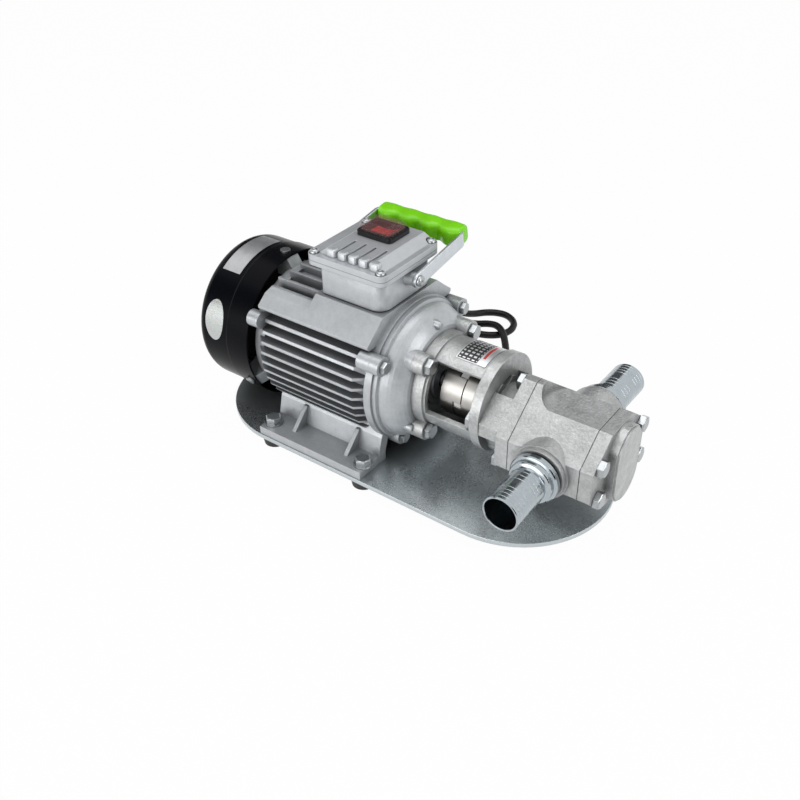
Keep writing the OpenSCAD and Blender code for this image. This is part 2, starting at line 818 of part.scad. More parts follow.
module terminal_board() {
    floor_z = gasket_top + box_wall;
    color("saddlebrown") in_place() {
        difference() {
            block([-57, -25], [-26, -12], [floor_z, floor_z + 8]);
            for (i = [0:2])
                block([-49.5 + 10 * i, -48 + 10 * i], [-27, -11], [floor_z + 4, floor_z + 9]);
        }
        for (x = [-54, -45, -36, -26])
            translate([x, -19, floor_z + 7]) cylinder(h = 5, r = 1.8);
    }
}

module terminal_lid() {
    near = -34;
    far = 38;
    color("silver") in_place() difference() {
        union() {
            translate([lid_x, 0, rim_z + lid_gap]) linear_extrude(lid_t) polygon(round_box(lid_len, lid_w, 7));
            side_view(near, far) polygon([
                [-74, lid_z - 0.5], [-8, lid_z - 0.5], [-8, lid_z], [-18, panel_z], [-66, panel_z], [-74, lid_z]
            ]);
        }
        translate([box_x, 0, rim_z - 1])
            linear_extrude(lid_t - 2) polygon(round_box(box_len - 9, box_w - 9, 7));
        for (x = [-54.5, -43.5, -33, -22])
            block([x - 1.25, x + 1.25], [near - 1, -8], [lid_z, panel_z + 1]);
        for (x = [-1, 1])
            for (y = [-1, 1])
                translate([lid_x + x * lid_screw_x, y * lid_screw_y, 0]) {
                    translate([0, 0, rim_z]) cylinder(h = 30, r = lid_screw_r + thread_gap);
                    translate([0, 0, lid_z - 3]) cylinder(h = 30, r = lid_head_r + 0.4);
                }
        translate([switch_x, switch_y, rim_z])
            linear_extrude(30) polygon(round_box(switch_body_len, switch_body_w, 2));
    }
}
lid_head_r = 4;
switch_body_len = 29;
switch_body_w = 23;

module lid_screws() {
    color("gainsboro") in_place()
        for (x = [-1, 1])
            for (y = [-1, 1])
                translate([lid_x + x * lid_screw_x, y * lid_screw_y, 0]) difference() {
                    union() {
                        translate([0, 0, rim_z - 8.5]) cylinder(h = lid_t + 7, r = lid_screw_r);
                        translate([0, 0, lid_z - 3]) cylinder(h = 2.6, r = lid_head_r);
                    }
                    for (a = [0, 90])
                        rotate([0, 0, a + 20]) translate([-2.6, -0.5, lid_z - 1.8]) cube([5.2, 1, 3]);
                }
}

// Rocker switch, its housing and its clear cover
rocker_len = 24;
rocker_w = 17;
rocker_pin_r = 1.8;
module switch_housing() {
    low = rim_z - 4;
    gap = 0.1;
    color("black") in_place() translate([switch_x, switch_y, 0]) difference() {
        union() {
            translate([0, 0, low])
                linear_extrude(panel_z - low + 0.5)
                    polygon(round_box(switch_body_len - gap, switch_body_w - gap, 2));
            translate([0, 0, panel_z]) linear_extrude(bezel_t - 1) polygon(round_box(bezel_len, bezel_w, 4));
            translate([0, 0, panel_z])
                linear_extrude(bezel_t) polygon(round_box(bezel_len - 1.6, bezel_w - 1.6, 3.4));
        }
        translate([0, 0, low + 3])
            linear_extrude(40) polygon(round_box(rocker_len + 1.6, rocker_w + 1.2, 1.5));
        translate([0, 0, rocker_z]) rod_y(-rocker_w / 2 - 2, rocker_w / 2 + 2, rocker_pin_r + running_gap);
    }
}

module switch_rocker() {
    color("red") in_place() translate([switch_x, switch_y, rocker_z]) rotate([0, -rocker_tilt, 0]) union() {
        side_view(-rocker_w / 2, rocker_w / 2) polygon(concat(
            [[rocker_len / 2 - 0.4, 3.6], [6, 1.8], [0, 1.2], [-6, 1.8], [-rocker_len / 2 + 0.4, 3.6]],
            [for (a = [200:14:340]) [(rocker_len / 2 - 0.4) * cos(a), -0.5 + 8 * sin(a)]]
        ));
        rod_y(-rocker_w / 2 - 1.7, rocker_w / 2 + 1.7, rocker_pin_r);
    }
}

// A box with sloping sides: half sizes at its foot and at its top
module dome(foot, top, low, high) {
    intersection() {
        side_view(-foot[1], foot[1]) polygon([
            [-foot[0], low], [foot[0], low], [foot[0], low + 1.5],
            [top[0], high - 1], [top[0] - 1.2, high], [1.2 - top[0], high],
            [-top[0], high - 1], [-foot[0], low + 1.5]
        ]);
        section(-foot[0], foot[0]) polygon([
            [-foot[1], low], [foot[1], low], [foot[1], low + 1.5],
            [top[1], high - 1], [top[1] - 1.2, high], [1.2 - top[1], high],
            [-top[1], high - 1], [-foot[1], low + 1.5]
        ]);
        translate([0, 0, low]) linear_extrude(high - low) polygon(round_box(2 * foot[0], 2 * foot[1], 4));
    }
}

module switch_cover() {
    color("mistyrose", 0.5) in_place() translate([switch_x, switch_y, 0]) difference() {
        dome([16.4, 13.2], [13, 10], bezel_top, bezel_top + 7);
        dome([15.2, 12], [11.9, 8.9], bezel_top - 1.5, bezel_top + 5.9);
    }
}

module cable_gland() {
    wall_in = box_w / 2 - box_wall;
    root = box_w / 2;
    color("dimgray") in_place() translate([gland_x, 0, gland_rise]) difference() {
        union() {
            rotate([-90, 0, 0]) {
                translate([0, 0, root]) cylinder(h = 5.5, r = gland_af / sqrt(3), $fn = 6);
                translate([0, 0, root + 5.5]) cylinder(h = 1.5, r = 8.5);
                translate([0, 0, root + 7]) cylinder(h = 7, r = (gland_af - 1.5) / sqrt(3), $fn = 6);
                translate([0, 0, root + 14]) cylinder(h = gland_len - 14, r1 = 8.6, r2 = 5.6);
                translate([0, 0, wall_in - 3]) cylinder(h = 3, r = 7.2);
            }
            rod_y(wall_in - 5, root + 2, gland_thread_r);
        }
        rod_y(wall_in - 6, gland_face_y - 4, cord_d / 2 + thread_gap);
    }
}

// Carrying handle, drawn upright about its pivot and then folded back
module handle_place() {
    in_place() translate([lid_x, 0, pivot_h]) rotate([bail_rest - 90, 0, 0]) children();
}

bend_r = 8;
module handle_bail() {
    out = bail_half;
    in = bail_half - bail_t;
    top = bail_reach + bail_t / 2;
    bend = bend_r;
    color("silver") handle_place() difference() {
        union() {
            side_view(-bail_w / 2, bail_w / 2) polygon(concat(
                [[out, 0]],
                quarter([out - bend, top - bend], bend, 0, 90, 6),
                quarter([bend - out, top - bend], bend, 90, 180, 6),
                [[-out, 0], [-in, 0]],
                quarter([bend - out, top - bend], bend - bail_t, 180, 90, 6),
                quarter([out - bend, top - bend], bend - bail_t, 90, 0, 6),
                [[in, 0]]
            ));
            rod_x(in, out, 8.5);
            rod_x(-out, -in, 8.5);
        }
        rod_x(-out - 1, out + 1, pivot_pin_r + running_gap);
    }
}

grip_len = 74;
wave_count = 4;
wave_depth = 1.5;
wave_steps = 32;
module handle_grip() {
    half = grip_len / 2;
    low = bail_reach - grip_d / 2;
    high = bail_reach + grip_d / 2 - 1;
    color("limegreen") handle_place() difference() {
        intersection() {
            side_view(-10, 10) polygon(concat(
                [[half, high - 2], [half - 2, high], [2 - half, high], [-half, high - 2]],
                [
                    for (i = [0:wave_steps])
                        [
                            -half + grip_len * i / wave_steps,
                            low - 0.2 + wave_depth * (1 - cos(360 * wave_count * i / wave_steps)) / 2
                        ]
                ]
            ));
            section(-half - 1, half + 1) translate([0, bail_reach - 0.5])
                polygon(round_box(17, grip_d + 0.4, 7));
        }
        block([-half - 1, half + 1],
              [-bail_w / 2 - thread_gap, bail_w / 2 + thread_gap],
              [bail_reach - bail_t / 2 - thread_gap, bail_reach + bail_t / 2 + thread_gap]);
    }
}

module handle_pivots() {
    color("gainsboro") in_place()
        for (side = [-1, 1])
            translate([lid_x, 0, pivot_h]) {
                far = bail_half + swing_gap;
                ends = side > 0 ? [far, far + 3] : [-far - 3, -far];
                shank = side > 0 ? [bail_half - 10, far + 1] : [-far - 1, 10 - bail_half];
                difference() {
                    union() {
                        rod_x(ends[0], ends[1], 5.5);
                        rod_x(shank[0], shank[1], pivot_pin_r);
                    }
                    block([side > 0 ? ends[1] - 1.2 : ends[0] - 1, side > 0 ? ends[1] + 1 : ends[0] + 1.2],
                          [-6, 6], [-0.6, 0.6]);
                }
            }
}

// Lantern bracket between motor and pump
module lantern_bracket() {
    rear = bracket_x;
    rear_face = rear + bracket_boss_t - 1;
    front = neck_x;
    front_face = neck_x - bracket_front_t;
    reach = 70;
    color("silver") in_place() difference() {
        union() {
            rod_x(rear, front, shell_r);
            rod_x(rear, rear_face, bracket_flange_r - 0.5);
            rod_x(front_face, front, bracket_flange_r);
            for (y = [-1, 1])
                for (z = [-1, 1])
                    translate([0, y * bracket_bolt_spot, z * bracket_bolt_spot])
                        rod_x(rear, rear_face, bracket_boss_r);
        }
        rod_x(rear - 1, front_face, shell_r - shell_wall);
        rod_x(rear, front + 1, spigot_r + thread_gap);
        for (side = [0, 180])
            section(rear_face + 2, front_face) polygon([
                [0, 0],
                reach * [cos(side == 0 ? window_low : 180 - window_low), sin(window_low)],
                reach * [side == 0 ? 1.2 : -1.2, 0],
                reach * [cos(side == 0 ? window_high : 180 - window_high), sin(window_high)]
            ]);
        for (y = [-1, 1])
            for (z = [-1, 1])
                translate([0, y * bracket_bolt_spot, z * bracket_bolt_spot]) {
                    rod_x(rear - 1, rear_face + 1, bolt_r + 0.3);
                    rod_x(rear_face, rear_face + 12, 8.5);
                }
        for (side = [-1, 1])
            translate([0, side * neck_bolt_y, neck_bolt_z]) rod_x(front_face - 1, front + 1, bolt_r + 0.3);
    }
}
bracket_front_t = 8.9;
spigot_r = 24;
neck_bolt_z = -2;

module bracket_bolts() {
    color("gainsboro") in_place()
        for (y = [-1, 1])
            for (z = [-1, 1])
                translate([0, y * bracket_bolt_spot, z * bracket_bolt_spot])
                    bolt_back(bracket_x + bracket_boss_t - 1, 25);
}

plate_rear_x = neck_x - 40;
plate_front_x = neck_x - 12;
module data_plate() {
    color("white") in_place() intersection() {
        difference() {
            rod_x(plate_rear_x, plate_front_x, shell_r + 0.8);
            rod_x(plate_rear_x - 1, plate_front_x + 1, shell_r);
        }
        section(plate_rear_x - 1, plate_front_x + 1)
            polygon([[0, 0], 80 * [cos(60), sin(60)], [0, 80], 80 * [cos(112), sin(112)]]);
    }
}

module neck_bolts() {
    color("gainsboro") in_place()
        for (side = [-1, 1])
            translate([0, side * neck_bolt_y, neck_bolt_z]) bolt_forward(neck_x - bracket_front_t, 24);
}

// Jaw coupling
coupling_rear_x = 42;
jaw_from = 56.4;
jaw_to = 63;
jaw_in_r = 12.4;
module jaw(from, to, mid) {
    intersection() {
        difference() {
            rod_x(from, to, coupling_r);
            rod_x(from - 1, to + 1, jaw_in_r);
        }
        section(from, to) polygon([
            [0, 0], 50 * [cos(mid - 25), sin(mid - 25)],
            60 * [cos(mid), sin(mid)], 50 * [cos(mid + 25), sin(mid + 25)]
        ]);
    }
}

module motor_coupling() {
    color("lightsteelblue") in_place() difference() {
        union() {
            turned() polygon([
                [0, coupling_rear_x], [coupling_r - 1, coupling_rear_x], [coupling_r, coupling_rear_x + 1],
                [coupling_r, jaw_from - 0.9], [0, jaw_from - 0.9]
            ]);
            for (a = [32:120:272])
                jaw(jaw_from - 1.2, jaw_to, a);
        }
        rod_x(coupling_rear_x - 1, jaw_to, coupling_bore_r);
        translate([coupling_rear_x + 7, 0, 0]) rod_y(5, coupling_r + 1, 2.5);
    }
}

module pump_coupling() {
    face = jaw_to + 0.9;
    color("lightsteelblue") in_place() difference() {
        union() {
            turned() polygon([
                [0, face], [coupling_r, face], [coupling_r, face + 13.1],
                [coupling_r - 1, face + 14.1], [0, face + 14.1]
            ]);
            for (a = [92:120:332])
                jaw(jaw_from, face + 0.3, a);
        }
        rod_x(jaw_from, face + 15, gear_shaft_r);
        translate([face + 7, 0, 0]) rod_y(5, coupling_r + 1, 2.5);
    }
}

module coupling_spider() {
    color("white") in_place() union() {
        difference() {
            rod_x(jaw_from, jaw_to, jaw_in_r - 0.2);
            rod_x(jaw_from - 1, jaw_to + 1, 8);
        }
        intersection() {
            rod_x(jaw_from, jaw_to, coupling_r - 0.6);
            for (i = [0:5])
                section(jaw_from, jaw_to) rotate(2 + 60 * i) polygon([
                    [11, -0.9], [coupling_r + 1, -2.1], [coupling_r + 1, 2.1], [11, 0.9]
                ]);
        }
    }
}

// Gear pump
mill_x = case_x + 24;
mill_r = 18.5;
port_z = pump_mid_z;
thread_y = 39.6;
port_bore_r = tail_bore_r - 1;
cover_bolt_spots = [
    for (side = [-1, 1])
        for (rise = [-1, 1])
            [side * cover_bolt_y, pump_mid_z + rise * cover_bolt_rise]
];
rear_bolt_spots = [
    [0, pump_mid_z + dowel_rise], [0, pump_mid_z - dowel_rise],
    [cover_bolt_y, pump_mid_z - cover_bolt_rise], [-cover_bolt_y, pump_mid_z - cover_bolt_rise]
];
dowel_spots = [
    [cover_bolt_y, pump_mid_z + cover_bolt_rise], [-cover_bolt_y, pump_mid_z + cover_bolt_rise]
];
dowel_r = 3;

// The flats milled along the top and the bottom of the case, each with a round end
module milled_flats() {
    for (side = [-1, 1]) {
        level = pump_mid_z + side * case_half_h;
        from = side > 0 ? level : level - 30;
        translate([mill_x, -60, from]) cube([100, 120, 30]);
        translate([mill_x, 0, from]) cylinder(h = 30, r = mill_r);
    }
}

module twin_bore(from, to, r) {
    rod_x(from, to, r);
    translate([0, 0, -gear_centres]) rod_x(from, to, r);
}

module pump_rear_cover() {
    color("silver") in_place() difference() {
        union() {
            rod_x(neck_x - 6, neck_x + 1, spigot_r);
            translate([0, 0, pump_mid_z]) rod_x(neck_x, rear_cover_x + 1, 30.5);
            for (side = [-1, 1])
                section(neck_x, rear_cover_x + 1) polygon([
                    [side * 42, -8], [side * 42, 3.6], [side * 19, 21.5],
                    [side * 19, 5], [side * 19, -12], [side * 25, -12]
                ]);
            section(rear_cover_x, case_x) polygon(pump_outline());
        }
        rod_x(neck_x - 7, rear_cover_x - 1.5, seal_r + thread_gap);
        rod_x(neck_x - 7, case_x + 1, gear_shaft_r + 0.35);
        for (side = [-1, 1])
            translate([0, side * neck_bolt_y, neck_bolt_z])
                rod_x(neck_x - 1, neck_x + 15.5, bolt_r + thread_gap);
        for (p = rear_bolt_spots)
            translate([0, p[0], p[1]]) {
                rod_x(rear_cover_x - 1, case_x + 1, bolt_r + thread_gap);
                rod_x(rear_cover_x - 20, rear_cover_x, 8.2);
            }
        for (p = dowel_spots)
            translate([0, p[0], p[1]]) rod_x(case_x - 8, case_x + 1, dowel_r + thread_gap);
    }
}
seal_r = 12;

module shaft_seal() {
    color("black") in_place() difference() {
        rod_x(rear_cover_x - 8.5, rear_cover_x - 1.5, seal_r);
        rod_x(rear_cover_x - 10, rear_cover_x, gear_shaft_r + running_gap);
        difference() {
            rod_x(rear_cover_x - 10, rear_cover_x - 4.5, seal_r - 2);
            rod_x(rear_cover_x - 11, rear_cover_x, gear_shaft_r + 1.2);
        }
    }
}

module pump_case() {
    from = case_x + gasket_t;
    to = front_cover_x - gasket_t;
    color("silver") in_place() difference() {
        union() {
            difference() {
                section(from, to) polygon(pump_outline());
                milled_flats();
            }
            translate([case_mid_x, 0, port_z]) {
                rod_y(-port_face, port_face, port_r);
                rod_y(-port_face + 4, port_face - 4, port_r + 1.5);
            }
        }
        twin_bore(from - 1, to + 1, chamber_r);
        translate([case_mid_x, 0, port_z]) {
            rod_y(-thread_y - 1, thread_y + 1, port_bore_r);
            rod_y(thread_y, port_face + 1, tail_root_r + thread_gap);
            rod_y(-port_face - 1, -thread_y, tail_root_r + thread_gap);
        }
        for (p = cover_bolt_spots)
            translate([0, p[0], p[1]]) rod_x(to - 14, to + 1, bolt_r + thread_gap);
        for (p = rear_bolt_spots)
            translate([0, p[0], p[1]]) rod_x(from - 1, from + 4.9, bolt_r + thread_gap);
        for (p = [rear_bolt_spots[2], rear_bolt_spots[3]])
            translate([0, p[0], p[1]]) rod_x(from - 1, from + 12, bolt_r + thread_gap);
        for (p = dowel_spots)
            translate([0, p[0], p[1]]) rod_x(from - 1, from + 8, dowel_r + thread_gap);
    }
}
tail_root_r = 16;

module pump_front_cover() {
    reach = gear_centres + 2 * boss_r;
    color("silver") in_place() difference() {
        union() {
            difference() {
                section(front_cover_x, face_x) polygon(pump_outline());
                milled_flats();
            }
            section(face_x - 1, front_reach - 1.5) translate([0, pump_mid_z]) rotate(90)
                polygon(stadium(reach, 2 * boss_r, 18));
            section(face_x - 1, front_reach) translate([0, pump_mid_z]) rotate(90)
                polygon(stadium(reach - 3, 2 * boss_r - 3, 18));
        }
        for (p = cover_bolt_spots)
            translate([0, p[0], p[1]]) {
                rod_x(front_cover_x - 1, face_x + 1, bolt_r + 0.3);
                rod_x(face_x, front_reach + 1, 8.2);
            }
    }
}
boss_r = 21.4;

module front_cover_bolts() {
    color("gainsboro") in_place()
        for (p = cover_bolt_spots)
            translate([0, p[0], p[1]]) bolt_back(face_x, front_cover_t + 13);
}

module rear_cover_bolts() {
    color("gainsboro") in_place()
        for (i = [0:3])
            translate([0, rear_bolt_spots[i][0], rear_bolt_spots[i][1]])
                bolt_forward(rear_cover_x, rear_cover_t + (i < 2 ? 5 : 11));
}

module dowel_pins() {
    color("gainsboro") in_place()
        for (p = dowel_spots)
            translate([0, p[0], p[1]]) rod_x(case_x - 7.5, case_x + 8, dowel_r);
}

module cover_gasket(from, flats) {
    difference() {
        section(from, from + gasket_t) polygon(pump_outline());
        if (flats) milled_flats();
        twin_bore(from - 1, from + 2, chamber_r + 0.4);
        for (p = flats ? cover_bolt_spots : concat(rear_bolt_spots, dowel_spots))
            translate([0, p[0], p[1]]) rod_x(from - 1, from + 2, bolt_r + 0.3);
    }
}

module cover_gaskets() {
    color("darkslategray") in_place() {
        cover_gasket(case_x, false);
        cover_gasket(front_cover_x - gasket_t, true);
    }
}

module bearing_block(from, to) {
    difference() {
        twin_bore(from, to, chamber_r - thread_gap);
        twin_bore(from - 1, to + 1, gear_shaft_r + running_gap);
    }
}

module bearing_blocks() {
    face_gap = 0.1;
    color("burlywood") in_place() {
        bearing_block(case_x, case_mid_x - gear_w / 2 - face_gap);
        bearing_block(case_mid_x + gear_w / 2 + face_gap, front_cover_x);
    }
}

module drive_gear() {
    color("lightgray") in_place() union() {
        section(case_mid_x - gear_w / 2, case_mid_x + gear_w / 2) polygon(gear_outline());
        rod_x(jaw_to + 1.5, front_cover_x - 1, gear_shaft_r);
    }
}

module driven_gear() {
    color("lightgray") in_place() translate([0, 0, -gear_centres]) union() {
        section(case_mid_x - gear_w / 2, case_mid_x + gear_w / 2)
            rotate(180 / gear_teeth) polygon(gear_outline());
        rod_x(case_x + 1, front_cover_x - 1, gear_shaft_r);
    }
}

// A hose tail, drawn along Z from its thread to its mouth
module hose_tail() {
    root = port_face + 2;
    start = 68;
    barb = 4.2;
    low = tail_r - 0.6;
    difference() {
        rotate_extrude() polygon(concat(
            [
                [tail_bore_r, thread_y + 0.4], [tail_root_r - 0.8, thread_y + 0.4],
                [tail_root_r, thread_y + 1.2],
                [tail_root_r, root], [tail_collar_r, root], [tail_collar_r, root + 5],
                [tail_collar_r - 0.6, root + 6], [tail_collar_r - 1.6, root + 6.4],
                [tail_collar_r - 1.6, root + 11], [low + 0.8, root + 13],
                [low, start], [low, tail_reach - 5 * barb]
            ],
            [
                for (i = [4:-1:1])
                    for (p = [[tail_r, tail_reach - i * barb - 0.1], [low, tail_reach - i * barb]]) p
            ],
            [[low, tail_reach - 1.4], [low - 0.7, tail_reach], [tail_bore_r, tail_reach]]
        ));
        translate([tail_collar_r + 2, 0, root + 3]) rotate([0, -90, 0]) cylinder(h = 4.2, r1 = 2.2, r2 = 1.2);
    }
}

module near_hose_tail() {
    color("whitesmoke") in_place()
        translate([case_mid_x, 0, port_z]) rotate([90, 0, 0]) rotate([0, 0, 100]) hose_tail();
}

module far_hose_tail() {
    color("whitesmoke") in_place()
        translate([case_mid_x, 0, port_z]) rotate([-90, 0, 0]) rotate([0, 0, 20]) hose_tail();
}

module port_seals() {
    color("black") in_place() translate([case_mid_x, 0, port_z])
        for (side = [-1, 1])
            rotate([side * 90, 0, 0]) rotate_extrude()
                translate([tail_root_r + 1.2, port_face + 1]) circle(r = 1);
}

// Mains lead
module sweep(path) {
    n = len(path);
    k = cord_sides;
    polyhedron(
        points = [for (i = [0:n - 1]) for (p = ring(path, i)) p],
        faces = concat(
            [[for (j = [0:k - 1]) j]],
            [for (i = [0:n - 2]) for (j = [0:k - 1])
                [i * k + j, (i + 1) * k + j, (i + 1) * k + (j + 1) % k, i * k + (j + 1) % k]],
            [[for (j = [k - 1:-1:0]) (n - 1) * k + j]]
        )
    );
}

module power_cord() {
    color("black") {
        sweep(cord_to_coil);
        sweep(cord_to_plug);
    }
}

module cord_coil() {
    strand = cord_d / 2 + 0.2;
    color("black") translate([coil_centre[0], coil_centre[1], 0]) rotate_extrude() union() {
        for (column = [-1, 1])
            for (row = [0, 1])
                translate([coil_mid_r + column * cord_d / 2, strand + 0.05 + row * cord_d])
                    circle(r = strand, $fn = 12);
        translate([coil_mid_r - cord_d / 2, strand]) square([cord_d, cord_d]);
    }
}

module cord_plug() {
    last = len(cord_to_plug) - 1;
    way = cord_to_plug[last] - cord_to_plug[last - 1];
    color("black") translate(cord_to_plug[last]) rotate([0, 0, atan2(way[1], way[0])]) union() {
        rotate([0, 90, 0]) cylinder(h = 26, r1 = cord_d / 2 + 0.6, r2 = 6.5);
        translate([24, 0, 0]) section(0, 34) polygon(round_box(30, 19, 8));
        for (side = [-1, 1])
            translate([57, side * 9.5, 0]) rotate([0, 90, 0]) cylinder(h = 19, r = 2.4);
    }
}

base_plate();
rubber_feet();
foot_bolts();
foot_nuts();
foot_studs();
motor_frame();
stator_core();
stator_windings();
rear_shield();
front_shield();
shield_bolts();
rear_bearing();
front_bearing();
fan_cover();
fan_cover_screws();
terminal_box();
box_gasket();
terminal_board();
terminal_lid();
lid_screws();
switch_housing();
switch_cover();
switch_rocker();
cable_gland();
handle_bail();
handle_grip();
handle_pivots();
lantern_bracket();
bracket_bolts();
data_plate();
neck_bolts();
pump_rear_cover();
pump_case();
pump_front_cover();
front_cover_bolts();
rear_cover_bolts();
dowel_pins();
cover_gaskets();
bearing_blocks();
shaft_seal();
near_hose_tail();
far_hose_tail();
port_seals();
motor_shaft();
rotor_core();
cooling_fan();
motor_coupling();
coupling_spider();
pump_coupling();
drive_gear();
driven_gear();
power_cord();
cord_coil();
cord_plug();
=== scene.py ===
"""Dressed view of a portable electric gear pump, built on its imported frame."""

import logging
import math
from dataclasses import dataclass
from enum import Enum
from typing import Any, Sequence

import bmesh
import bpy
from mathutils import Matrix, Vector


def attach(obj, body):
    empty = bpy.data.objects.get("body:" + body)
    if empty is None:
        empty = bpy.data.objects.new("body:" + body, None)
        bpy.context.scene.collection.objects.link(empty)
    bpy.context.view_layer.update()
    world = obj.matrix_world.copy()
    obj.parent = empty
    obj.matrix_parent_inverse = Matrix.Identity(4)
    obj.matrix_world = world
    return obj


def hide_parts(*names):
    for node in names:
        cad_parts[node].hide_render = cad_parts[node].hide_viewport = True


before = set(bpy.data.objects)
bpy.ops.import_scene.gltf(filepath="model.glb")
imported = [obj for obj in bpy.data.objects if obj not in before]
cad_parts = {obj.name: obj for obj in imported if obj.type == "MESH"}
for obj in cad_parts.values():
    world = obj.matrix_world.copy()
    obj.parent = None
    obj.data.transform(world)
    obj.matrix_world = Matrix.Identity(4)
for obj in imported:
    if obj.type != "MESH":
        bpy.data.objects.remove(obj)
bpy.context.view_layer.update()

LOG = logging.getLogger("gear_pump")
MM = 0.001
AXIS_Z = 84.0
Point = tuple[float, float, float]
Colour = tuple[float, float, float]
Pair = tuple[float, float]
Pairs = tuple[Pair, ...]
ORIGIN: Point = (0.0, 0.0, 0.0)
WHITE: Colour = (1.0, 1.0, 1.0)


class Axis(Enum):
    """The way that drawn streaks run on a metal."""

    X = (1.0, 0.0, 0.0)
    Y = (0.0, 1.0, 0.0)


class Body(Enum):
    """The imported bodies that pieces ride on."""

    SET = "pump_set"
    HANDLE = "handle"


class Link:
    """A node's output, with Python operators that add Math nodes."""

    def __init__(self, graph: "Graph", socket: bpy.types.NodeSocket) -> None:
        """Keeps the socket and the graph that it belongs to."""
        self.graph = graph
        self.socket = socket

    def __add__(self, other: Any) -> "Link":
        """Adds."""
        return self.graph.maths("ADD", self, other)

    def __radd__(self, other: Any) -> "Link":
        """Adds, with the number first."""
        return self.graph.maths("ADD", other, self)

    def __sub__(self, other: Any) -> "Link":
        """Subtracts."""
        return self.graph.maths("SUBTRACT", self, other)

    def __rsub__(self, other: Any) -> "Link":
        """Subtracts from a number."""
        return self.graph.maths("SUBTRACT", other, self)

    def __mul__(self, other: Any) -> "Link":
        """Multiplies."""
        return self.graph.maths("MULTIPLY", self, other)

    def __truediv__(self, other: Any) -> "Link":
        """Divides."""
        return self.graph.maths("DIVIDE", self, other)

    def __gt__(self, other: Any) -> "Link":
        """Gives 1 where this is greater, else 0."""
        return self.graph.maths("GREATER_THAN", self, other)

    def __lt__(self, other: Any) -> "Link":
        """Gives 1 where this is less, else 0."""
        return self.graph.maths("LESS_THAN", self, other)

    def __pow__(self, other: Any) -> "Link":
        """Raises to a power."""
        return self.graph.maths("POWER", self, other)

    def __mod__(self, other: Any) -> "Link":
        """Gives the floored remainder."""
        return self.graph.maths("FLOORED_MODULO", self, other)

    def __abs__(self) -> "Link":
        """Gives the size without the sign."""
        return self.graph.maths("ABSOLUTE", self)


class Graph:
    """A node tree and the few node recipes that fill it."""

    def __init__(self, tree: bpy.types.NodeTree, end_kind: str) -> None:
        """Keeps the tree and adds its output node.

        Args:
            tree: The empty tree.
            end_kind: The type of its output node.
        """
        self.tree = tree
        self.output = tree.nodes.new(end_kind)

    def node(self, kind: str, settings: dict[str, Any], inputs: dict[Any, Any], out: Any = 0) -> Link:
        """Adds one node.

        Args:
            kind: The node's type.
            settings: Its properties, set first.
            inputs: A value, a Link or a list of Links for each socket, by name or index.
            out: The output to give back.

        Returns:
            The chosen output as a Link.
        """
        made = self.tree.nodes.new(kind)
        for key, value in settings.items():
            setattr(made, key, value)
        for key, value in inputs.items():
            self.plug(made.inputs[key], value)
        return Link(self, made.outputs[out])

    def plug(self, socket: bpy.types.NodeSocket, value: Any) -> None:
        """Links or sets one socket.

        Args:
            socket: The input.
            value: A Link, a list of Links for a socket that joins them, or a plain value.
        """
        if isinstance(value, Link):
            self.tree.links.new(value.socket, socket)
        elif isinstance(value, list):
            for part in value:
                self.plug(socket, part)
        elif socket.type == "RGBA" and len(value) == 3:
            socket.default_value = (*value, 1.0)
        else:
            socket.default_value = value

    def end(self, value: Link) -> None:
        """Links a value to the output node, in place of what was there."""
        self.tree.links.new(value.socket, self.output.inputs[0])

    def maths(self, operation: str, first: Any, second: Any = 0.0) -> Link:
        """Adds one Math node."""
        return self.node("ShaderNodeMath", {"operation": operation}, {0: first, 1: second})

    def background_rays(self) -> Link:
        """Finds the rays that see a white background.

        Returns:
            1 for a camera, glossy or transmission ray, else 0.
        """
        kinds = ("Camera", "Glossy", "Transmission")
        camera, glossy, through = (self.node("ShaderNodeLightPath", {}, {}, f"Is {kind} Ray") for kind in kinds)
        return self.maths("MAXIMUM", self.maths("MAXIMUM", camera, glossy), through)


